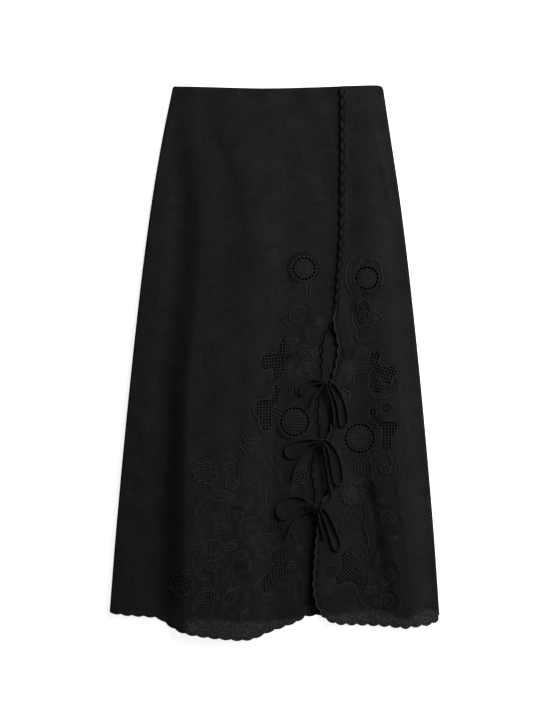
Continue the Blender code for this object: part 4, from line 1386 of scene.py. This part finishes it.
tie_linen = linen("black linen tie", (0.0034, 0.0034, 0.0035), (0.0074, 0.0074, 0.0076), 0.5)
for bow, pieces in BOWS.items():
    knot_x, knot_drop = pieces["knot"]
    knot_height = knot_middle(knot_drop)
    # the knot: a tight over-and-under of the tube, with the two sewn roots
    turns = np.linspace(0.0, 2 * math.pi, 49)[:-1]
    wrap = np.column_stack([
        knot_x + (np.sin(turns) + 2 * np.sin(2 * turns)) * WRAP_SIZE[0],
        WAIST_Y - knot_drop + (np.cos(turns) - 2 * np.cos(2 * turns)) * WRAP_SIZE[1],
        knot_height - np.sin(3 * turns) * WRAP_SIZE[2],
    ])
    parts = [tube(bow + "_knot_tie", wrap, TIE_DIAMETER, closed=True)]
    start = along(LEFT_EDGE, knot_drop, 1) + SLIT_DEPTH / 2 + ROOT_GAP
    end = along(RIGHT_EDGE, knot_drop, 1) - SLIT_DEPTH / 2 - ROOT_GAP
    root = [(start, WAIST_Y - knot_drop, edge_height(LEFT_FOLDS, LEFT_EDGE, knot_drop) + ROOT_RISE),
            (knot_x, WAIST_Y - knot_drop, knot_height - 1.0),
            (end, WAIST_Y - knot_drop, edge_height(RIGHT_FOLDS, RIGHT_EDGE, knot_drop) + ROOT_RISE)]
    parts.append(tube(bow + "_roots", smooth_path(root, step=2.0), TIE_DIAMETER))
    for part in parts:
        part.select_set(True)
    bpy.context.view_layer.objects.active = parts[0]
    bpy.ops.object.convert(target="MESH")
    bpy.ops.object.join()
    knot = bpy.context.object
    bpy.ops.object.select_all(action="DESELECT")
    knot.data.shade_smooth()
    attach(knot, "root")
    finish_piece(knot, tie_linen)
    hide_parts(bow + "_knot")
    for part, route in pieces.items():
        if part == "knot":
            continue
        is_loop = part.startswith("loop")
        points = tie_route(route, pieces["knot"], LOOP_RISE if is_loop else TAIL_FALL)
        tie = tube(bow + "_" + part + "_tie", points, TIE_DIAMETER)
        if not is_loop:
            tie.data.splines[0].points[-1].radius *= TAIL_TIP
        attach(tie, "root")
        finish_piece(tie, tie_linen)
        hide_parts(bow + "_" + part)


# ---------------------------------------------------------------------------------------------
# The studio: a pale floor, a big soft light from the upper right, a low window on the right and
# a camera straight above.
# ---------------------------------------------------------------------------------------------

bpy.ops.mesh.primitive_plane_add(size=14.0, location=(0.0, 0.0, 0.0))
floor = bpy.context.object
floor.name = "studio_floor"
paper = bpy.data.materials.new("white paper")
paper.use_nodes = True
paper_shader = paper.node_tree.nodes["Principled BSDF"]
for socket, value in (("Base Color", (0.93, 0.93, 0.93, 1.0)), ("Roughness", 0.9),
                      ("Emission Color", (1.0, 1.0, 1.0, 1.0)), ("Emission Strength", 0.82)):
    paper_shader.inputs[socket].default_value = value
floor.data.materials.append(paper)


def softbox(name, place, width, height, watts):
    """A soft light aimed at the middle of the skirt."""
    data = bpy.data.lights.new(name, "AREA")
    data.shape = "RECTANGLE"
    data.size, data.size_y = width, height
    data.energy = watts
    light = bpy.data.objects.new(name, data)
    light.location = place
    light.rotation_euler = (-Vector(place)).to_track_quat("-Z", "Y").to_euler()
    bpy.context.scene.collection.objects.link(light)


softbox("key_softbox", (1.45, 1.45, 1.32), 0.8, 0.8, 62.0)
softbox("side_window", (1.90, 0.40, 0.50), 1.5, 0.4, 26.0)

world = bpy.data.worlds.new("studio air")
bpy.context.scene.world = world
world.use_nodes = True
world.node_tree.nodes["Background"].inputs["Color"].default_value = (1.0, 1.0, 1.0, 1.0)
world.node_tree.nodes["Background"].inputs["Strength"].default_value = 0.14

camera_data = bpy.data.cameras.new("photo_camera")
camera_data.lens = 90.0
camera_data.sensor_width = 36.0
camera = bpy.data.objects.new("photo_camera", camera_data)
camera.location = (-0.00736, 0.0048, 2.883)
bpy.context.scene.collection.objects.link(camera)
bpy.context.scene.camera = camera
bpy.context.scene.view_settings.view_transform = "Standard"

bpy.context.view_layer.update()
